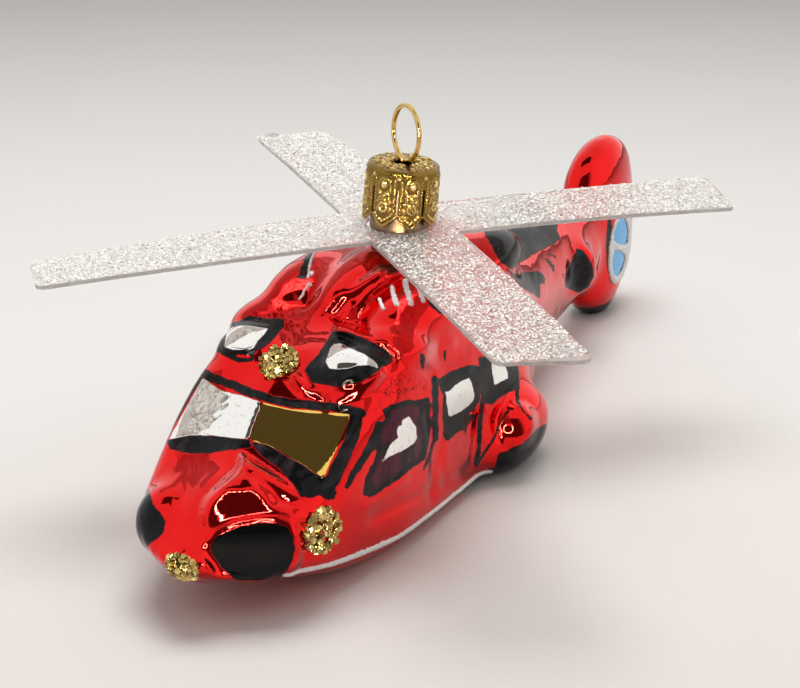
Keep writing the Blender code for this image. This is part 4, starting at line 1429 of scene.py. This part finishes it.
class CapBuilder(Operator):
    """Presses the embossed crown cap"""
    bl_idname = "ornament.cap"
    bl_label = "Crown cap"

    def execute(self, context):
        pitch = 2.0 * math.pi / CAP_TABS
        half = pitch / 2.0 - CAP_SLIT_HALF_WIDTH
        shares = np.linspace(-1.0, 1.0, CAP_TAB_COLUMNS)
        turns = (np.arange(CAP_TABS)[:, None] * pitch + shares * half).ravel()
        shares = np.tile(shares, CAP_TABS)
        wall = self.wall(shares * half * CAP_OUTER_RADIUS, shares)
        radii, heights, outs, ups, reliefs = (
            np.concatenate(pair) for pair in zip(wall, self.top(turns)))
        radii, heights = radii + outs * reliefs, heights + ups * reliefs
        bm = bmesh.new()
        raised = bm.verts.layers.float.new("raised")
        grid = []
        for rows in zip(radii, heights, reliefs):
            line = []
            for turn, radius, height, rise in zip(turns, *rows):
                place = Vector((radius * math.cos(turn), radius * math.sin(turn), height)) * MM
                line.append(bm.verts.new(CAP_FRAME @ place))
                line[-1][raised] = rise
            grid.append(line)
        for row, (low, high) in enumerate(zip(grid, grid[1:])):
            for k in range(len(turns)):
                n = (k + 1) % len(turns)
                if row >= CAP_TAB_ROWS or n % CAP_TAB_COLUMNS:
                    bm.faces.new((low[k], low[n], high[n], high[k]))
        cap = new_piece("embossed_cap", bm, None, pressed_gold(context.scene.ornament))
        thickened(cap, CAP_SHEET)
        settle(cap)
        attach(cap, "ornament")
        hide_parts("cap")
        return {"FINISHED"}

    def wall(self, across, shares):
        """Rows from the tips to the top edge: radii, heights, ways out, ways up and relief."""
        wall_top = CAP_HEIGHT - CAP_EDGE_RADIUS
        tips = CAP_TAB_SHOULDER * np.abs(shares) ** 1.3
        tab = [tips + (CAP_SLIT_TOP - tips) * k / CAP_TAB_ROWS for k in range(CAP_TAB_ROWS)]
        above = [np.full_like(tips, CAP_SLIT_TOP + (wall_top - CAP_SLIT_TOP) * k / CAP_WALL_ROWS)
                 for k in range(CAP_WALL_ROWS)]
        heights = np.stack(tab + above)
        pillow = CAP_PILLOW * (1.0 - shares ** 2)
        tip_rim = np.clip(1.0 - (heights - tips) / CAP_RIM_WIDTH, 0.0, 1.0) * CAP_RIM_HEIGHT
        relief = np.maximum(tab_relief(np.broadcast_to(across, heights.shape), heights), tip_rim)
        bends = [k * math.pi / 14.0 for k in range(7)]
        outs = np.array([1.0] * len(heights) + [math.cos(a) for a in bends])
        ups = np.array([0.0] * len(heights) + [math.sin(a) for a in bends])
        bend_heights = [np.full_like(tips, wall_top + CAP_EDGE_RADIUS * math.sin(a)) for a in bends]
        bend_relief = [tab_relief(across, h) * math.cos(a) for a, h in zip(bends, bend_heights)]
        radii = [CAP_INNER_RADIUS - CAP_EDGE_RADIUS + CAP_EDGE_RADIUS * out + pillow * out
                 for out in outs]
        level = np.ones_like(tips)
        return (np.stack(radii), np.concatenate([heights, np.stack(bend_heights)]),
                outs[:, None] * level, ups[:, None] * level,
                np.concatenate([relief, np.stack(bend_relief)]))

    def top(self, turns):
        """Rings of the pebbled top, from its edge to the square hole: as wall gives them."""
        chance = random.Random(9)
        hole = CAP_HOLE_HALF_SIDE / np.maximum(np.abs(np.cos(turns)), np.abs(np.sin(turns)))
        edge = CAP_INNER_RADIUS - CAP_EDGE_RADIUS
        rings = np.stack([edge + (hole - edge) * k / CAP_TOP_RINGS
                          for k in range(1, CAP_TOP_RINGS + 1)])
        x, y = rings * np.cos(turns), rings * np.sin(turns)
        relief = np.zeros_like(rings)
        for _ in range(CAP_PEBBLES):
            turn = chance.uniform(0.0, 2.0 * math.pi)
            far = math.sqrt(chance.uniform(0.1, 1.0)) * (edge + 0.2)
            size = chance.uniform(*CAP_PEBBLE_SIZES)
            raise_dome(relief, x, y, (far * math.cos(turn), far * math.sin(turn)),
                       (size, size * chance.uniform(0.6, 1.0)),
                       chance.uniform(*CAP_PEBBLE_HEIGHTS))
        level = np.ones_like(rings)
        relief[-1] = relief[-2] = 0.0
        return rings, level * CAP_HEIGHT, level * 0.0, level, relief


class LoopBuilder(Operator):
    """Bends the hanging loop"""
    bl_idname = "ornament.loop"
    bl_label = "Hanging loop"

    def execute(self, context):
        curve = bpy.data.curves.new("wire_loop", "CURVE")
        curve.dimensions = "3D"
        curve.bevel_depth = WIRE_RADIUS * MM
        curve.bevel_resolution = 5
        curve.use_fill_caps = True
        route = self.route()
        spline = curve.splines.new("POLY")
        spline.points.add(len(route) - 1)
        for point, (x, z) in zip(spline.points, route):
            flat = Vector((x * math.cos(LOOP_TURN), x * math.sin(LOOP_TURN), z)) * MM
            point.co = (*(CAP_FRAME @ flat), 1.0)
        curve.materials.append(drawn_wire(context.scene.ornament))
        loop = bpy.data.objects.new("wire_loop", curve)
        context.scene.collection.objects.link(loop)
        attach(loop, "hanger")
        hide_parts("hanger_loop")
        return {"FINISHED"}

    def route(self):
        """A leg, the ring and the other leg, in the wire's own plane."""
        bottom = math.asin(LEG_GAP / RING_RADIUS)
        centre = CAP_HEIGHT + RING_CENTRE_ABOVE_CAP
        ring = []
        for k in range(RING_STEPS + 1):
            angle = -math.pi / 2 - bottom - (2 * math.pi - 2 * bottom) * k / RING_STEPS
            ring.append((RING_RADIUS * math.cos(angle), centre + RING_RADIUS * math.sin(angle)))
        inside = CAP_HEIGHT - CAP_WALL
        legs = [(LEG_GAP, inside + 0.2), (LEG_GAP + 0.15, inside - 1.2),
                (LEG_SPREAD * 0.6, inside - 3.6), (LEG_SPREAD, inside - LEG_DEPTH)]
        return [(-x, z) for x, z in legs[::-1]] + ring + legs


def glass_surface(context):
    """The painted glass, to find places on."""
    glass = bpy.data.objects["painted_glass"]
    return BVHTree.FromObject(glass, context.evaluated_depsgraph_get())


class GoldGlitterBuilder(Operator):
    """Glues the patches of coarse gold glitter"""
    bl_idname = "ornament.gold_glitter"
    bl_label = "Gold glitter"

    def execute(self, context):
        finish = gold_chips()
        self.glass = glass_surface(context)
        for seed, name in enumerate(("roof", "chin", "port", "starboard")):
            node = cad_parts["gold_glitter_" + name]
            self.patch("gold_chips_" + name, node, context.scene.ornament.chips, finish, seed)
        return {"FINISHED"}

    def patch(self, name, node, count, finish, seed):
        """Chips strewn over the glass where one patch's solid lies, a few of them on others."""
        chance = random.Random(seed)
        faces = list(node.data.polygons)
        weights = [face.area for face in faces]
        bm = bmesh.new()
        own = bm.faces.layers.float.new("flake")
        for _ in range(count):
            face = chance.choices(faces, weights)[0]
            corners = [node.data.vertices[i].co for i in face.vertices[:3]]
            a, b = sorted((chance.random(), chance.random()))
            place = corners[0] * a + corners[1] * (b - a) + corners[2] * (1 - b)
            spot, normal = self.glass.find_nearest(place)[:2]
            place = spot + normal * chance.choice(CHIP_HEIGHTS) * MM
            lean = Vector([chance.uniform(-1, 1) for _ in range(3)])
            turn = (normal + lean * CHIP_LEAN).to_track_quat("Z", "Y").to_matrix()
            add_chip(bm, own, place, turn, chance)
        patch = new_piece(name, bm, "ornament", finish)
        patch.data.shade_flat()
        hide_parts(node.name)


class WhiteGlitterBuilder(Operator):
    """Brushes on the white glitter stripes, the tail rotor's rim and the strokes on the cheek"""
    bl_idname = "ornament.white_glitter"
    bl_label = "White glitter"

    def execute(self, context):
        self.finish = glitter_paint()
        self.glass = glass_surface(context)
        self.chance = random.Random(3)
        rows = blend_rows(STRIPE_ROUTE, STRIPE_STEPS)
        for side, word in ((1, "port"), (-1, "starboard")):
            route = [Vector((side * x, y, z)) * MM for x, y, z in rows]
            stripe = self.brushed("white_stripe_" + word, [(STRIPE_HALF_WIDTH, route)])
            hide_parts("glitter_stripe_" + word)
            rim = self.tail_rim("white_rim_" + word, side)
            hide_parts("fenestron_ring_" + word)
        for name, strokes in (("cheek_strokes", CHEEK_STROKES), ("cowling_line", COWLING_LINES)):
            self.brushed(name, [
                (half, [self.seen_place(p) for p in route]) for half, route in strokes])
        return {"FINISHED"}

    def seen_place(self, pixel):
        """The place on the glass that shows at a pixel of the photograph."""
        way = (CAMERA_FORWARD + CAMERA_RIGHT * ((pixel[0] - PHOTO_SIZE[0] / 2) / CAMERA_FOCAL)
               - CAMERA_UP * ((pixel[1] - PHOTO_SIZE[1] / 2) / CAMERA_FOCAL))
        place = self.glass.ray_cast(CAMERA_PLACE, way)[0]
        if place is None:
            raise RuntimeError("No glass shows at pixel %s" % (pixel,))
        return place

    def brushed(self, name, strokes):
        """Uneven rounded strokes of glitter paint along routes on the glass."""
        bm = bmesh.new()
        for half_width, route in strokes:
            self.stroke(bm, route, half_width * MM)
        made = new_piece(name, bm, "ornament", self.finish)
        return made

    def stroke(self, bm, route, half_width):
        """One stroke: rings of points across it, uneven in width and height, closed at its ends."""
        places = [route[0]]
        for start, end in zip(route, route[1:]):
            steps = max(1, round((end - start).length / STROKE_STEP))
            places += [start.lerp(end, k / steps) for k in range(1, steps + 1)]
        last = len(places) - 1
        rings = []
        for k, place in enumerate(places):
            spot, normal = self.glass.find_nearest(place)[:2]
            across = normal.cross(places[min(k + 1, last)] - places[max(k - 1, 0)]).normalized()
            from_end = min(k, last - k) * STROKE_STEP
            taper = math.sqrt(max(0.02, 1.0 - max(0.0, 1.0 - from_end / half_width) ** 2))
            sway = noise.noise(spot * 1400.0)
            left, right = (
                half_width * taper * (1.0 + 0.35 * noise.noise(spot * 2300.0 + apart))
                for apart in (Vector((0.0, 0.0, 0.0)), Vector((9.0, 0.0, 0.0))))
            middle = spot + across * (half_width * 0.15 * sway)
            ring = []
            for n in range(STROKE_SIDES):
                angle = 2.0 * math.pi * n / STROKE_SIDES
                reach = (right if math.cos(angle) > 0.0 else left) * math.cos(angle)
                rise = STROKE_RISE * taper * (1.0 + 0.3 * sway) * max(math.sin(angle), -0.3) - 0.02
                rough = Vector([self.chance.uniform(-1.0, 1.0) for _ in range(3)])
                ring.append(bm.verts.new(
                    middle + across * reach + normal * (rise * MM) + rough * STROKE_ROUGHNESS))
            rings.append(ring)
        skin_rings(bm, rings)
        bm.faces.new(rings[0][::-1])
        bm.faces.new(rings[-1])

    def tail_rim(self, name, side):
        """Thick paint round the tail rotor, with two cells left open between it and its bar."""
        bm = bmesh.new()
        middle_y, middle_z = TAIL_RIM_MIDDLE
        half_y, half_z = TAIL_RIM_RADII
        columns, rows = int(2 * half_y / RIM_CELL) + 3, int(2 * half_z / RIM_CELL) + 3
        points = np.array([
            (middle_y + (c - columns / 2) * RIM_CELL, middle_z + (r - rows / 2) * RIM_CELL)
            for r in range(rows) for c in range(columns)])
        far = np.hypot((points[:, 0] - middle_y) / half_y, (points[:, 1] - middle_z) / half_z)
        inside = (1.0 - far) * half_y
        for cell in TAIL_CELLS:
            inside = np.minimum(inside, outline_distance(points, cell))
        inside += np.array([
            RIM_WANDER * noise.noise(Vector((y, z, side)) * 1.7) for y, z in points])
        verts = {}
        for k, (depth, (y, z)) in enumerate(zip(inside, points)):
            if depth < -RIM_CELL:
                continue
            start = Vector((side * RIM_START, y * MM, z * MM))
            spot, normal = self.glass.ray_cast(start, Vector((-side, 0.0, 0.0)))[:2]
            if spot is None:
                continue
            height = -0.05
            if depth > 0:
                height = RIM_RISE * math.sqrt(1.0 - max(0.0, 1.0 - depth / RIM_ROUNDING) ** 2)
            if depth > 0.1:
                height += self.chance.uniform(-RIM_ROUGHNESS, RIM_ROUGHNESS)
            verts[k] = bm.verts.new(spot + normal * height * MM)
        for r in range(rows - 1):
            for c in range(columns - 1):
                near, far = r * columns + c, (r + 1) * columns + c
                corners = [near, near + 1, far + 1, far]
                if all(k in verts for k in corners):
                    bm.faces.new([verts[k] for k in corners[::side]])
        made = new_piece(name, bm, None, self.finish)
        thickened(made, RIM_SHEET)
        settle(made)
        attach(made, "ornament")
        return made


class StageBuilder(Operator):
    """Lays the pale surface, the soft studio light and the camera"""
    bl_idname = "ornament.stage"
    bl_label = "Stage"

    def execute(self, context):
        scene = context.scene
        bm = bmesh.new()
        bmesh.ops.create_grid(bm, x_segments=8, y_segments=8, size=FLOOR_HALF_SIZE)
        floor = new_piece("pale_surface", bm, None, pale_floor())
        self.light_tent(scene)
        self.lamp_ring()
        self.camera(scene)
        scene.view_settings.view_transform = "Standard"
        return {"FINISHED"}

    def light_tent(self, scene):
        """A white tent all round, open towards the camera, with a dark slot in its roof."""
        world = bpy.data.worlds.new("light tent")
        scene.world = world
        world.use_nodes = True
        tree = world.node_tree
        way = add_node(tree, "TexCoord").outputs["Generated"]

        def towards(azimuth):
            turn = math.radians(azimuth)
            facing = (math.sin(turn), -math.cos(turn), 0.0)
            return Number(add_node(
                tree, "VectorMath", {0: way, 1: facing}, operation="DOT_PRODUCT").outputs["Value"])

        up = Number(add_node(tree, "SeparateXYZ", {0: way}).outputs[2])
        roof = up.at_least(0.01)
        front, aside = towards(OPENING_AZIMUTH), abs(towards(OPENING_AZIMUTH + 90.0))
        opening = ramp(front * OPENING_WIDTH - aside, 0.0, 0.35).at_most(
            ramp(front * OPENING_HEIGHT - up, 0.0, 0.06))
        along = abs(towards(SLOT_AZIMUTH) / roof - SLOT_MIDDLE) / SLOT_HALF_LENGTH
        across = abs(towards(SLOT_AZIMUTH + 90.0) / roof) / SLOT_HALF_WIDTH
        slot = ramp(along.at_least(across), 0.95, 1.1, 1.0, 0.0) * ramp(up, 0.3, 0.4)
        behind = ramp(towards(OPENING_AZIMUTH + 110.0), -0.2, 0.9)
        tone = mixed(ramp(up, 0.75, 0.92), mixed(behind, *TENT_WALLS), TENT_ROOF)
        tone = mixed(opening, mixed(slot, tone, SLOT_TONE), ROOM_TONE)
        give(tree.nodes["Background"].inputs["Color"], tone)
        lamp = bpy.data.lights.new("top panel", "AREA")
        lamp.shape, lamp.energy = "RECTANGLE", PANEL_POWER
        lamp.size, lamp.size_y = PANEL_SIZE
        panel = bpy.data.objects.new("top panel", lamp)
        panel.location = PANEL_PLACE
        panel.rotation_euler = (-panel.location).to_track_quat("-Z", "Y").to_euler()
        panel.visible_glossy = False
        scene.collection.objects.link(panel)

    def lamp_ring(self):
        """A ring of small lamps round the lens, which the glass and the glitter reflect."""
        bm = bmesh.new()

        def round_about(middle, radius, k, count):
            turn = 2 * math.pi * k / count
            return middle + (CAMERA_RIGHT * math.cos(turn) + CAMERA_UP * math.sin(turn)) * radius

        for k in range(RING_LAMPS):
            place = round_about(CAMERA_PLACE, RING_LAMP_RADIUS, k, RING_LAMPS)
            bm.faces.new([
                bm.verts.new(round_about(place, RING_LAMP_SIZE, n, 8)) for n in range(8)])
        glow, _, shader = new_finish("lamp glow")
        set_shader(shader, Emission_Color=RING_LAMP_TONE, Emission_Strength=RING_LAMP_GLOW)
        glow.cycles.emission_sampling = "NONE"
        ring = new_piece("lamp_ring", bm, None, glow)
        ring.visible_camera = ring.visible_diffuse = ring.visible_shadow = False

    def camera(self, scene):
        """The photograph's camera."""
        lens = bpy.data.cameras.new("camera")
        lens.lens, lens.sensor_width, lens.clip_start = CAMERA_LENS, CAMERA_SENSOR, 0.01
        camera = bpy.data.objects.new("camera", lens)
        turn = Matrix((CAMERA_RIGHT, CAMERA_UP, -CAMERA_FORWARD)).transposed().to_4x4()
        camera.matrix_world = Matrix.Translation(CAMERA_PLACE) @ turn
        scene.collection.objects.link(camera)
        scene.camera = camera


BUILDERS = (
    GlassBuilder, RotorBuilder, CapBuilder, LoopBuilder, GoldGlitterBuilder, WhiteGlitterBuilder,
    StageBuilder)


class OrnamentPanel(Panel):
    """The ornament's pieces and their sizes and colours"""
    bl_idname = "VIEW3D_PT_ornament"
    bl_label = "Glass helicopter ornament"
    bl_space_type = "VIEW_3D"
    bl_region_type = "UI"
    bl_category = "Ornament"

    def draw(self, context):
        for name in OrnamentSettings.__annotations__:
            self.layout.prop(context.scene.ornament, name)
        for builder in BUILDERS:
            self.layout.operator(builder.bl_idname)


CLASSES = (OrnamentSettings, *BUILDERS, OrnamentPanel)


def register():
    """Adds the classes and the scene's settings."""
    for made in CLASSES:
        bpy.utils.register_class(made)
    bpy.types.Scene.ornament = PointerProperty(type=OrnamentSettings)


def unregister():
    """Takes them away again."""
    del bpy.types.Scene.ornament
    for made in reversed(CLASSES):
        bpy.utils.unregister_class(made)


def main():
    """Builds every piece in order."""
    register()
    bpy.ops.ornament.stage()
    bpy.ops.ornament.glass()
    bpy.ops.ornament.rotor()
    bpy.ops.ornament.cap()
    bpy.ops.ornament.loop()
    bpy.ops.ornament.gold_glitter()
    bpy.ops.ornament.white_glitter()


if __name__ == "__main__":
    main()
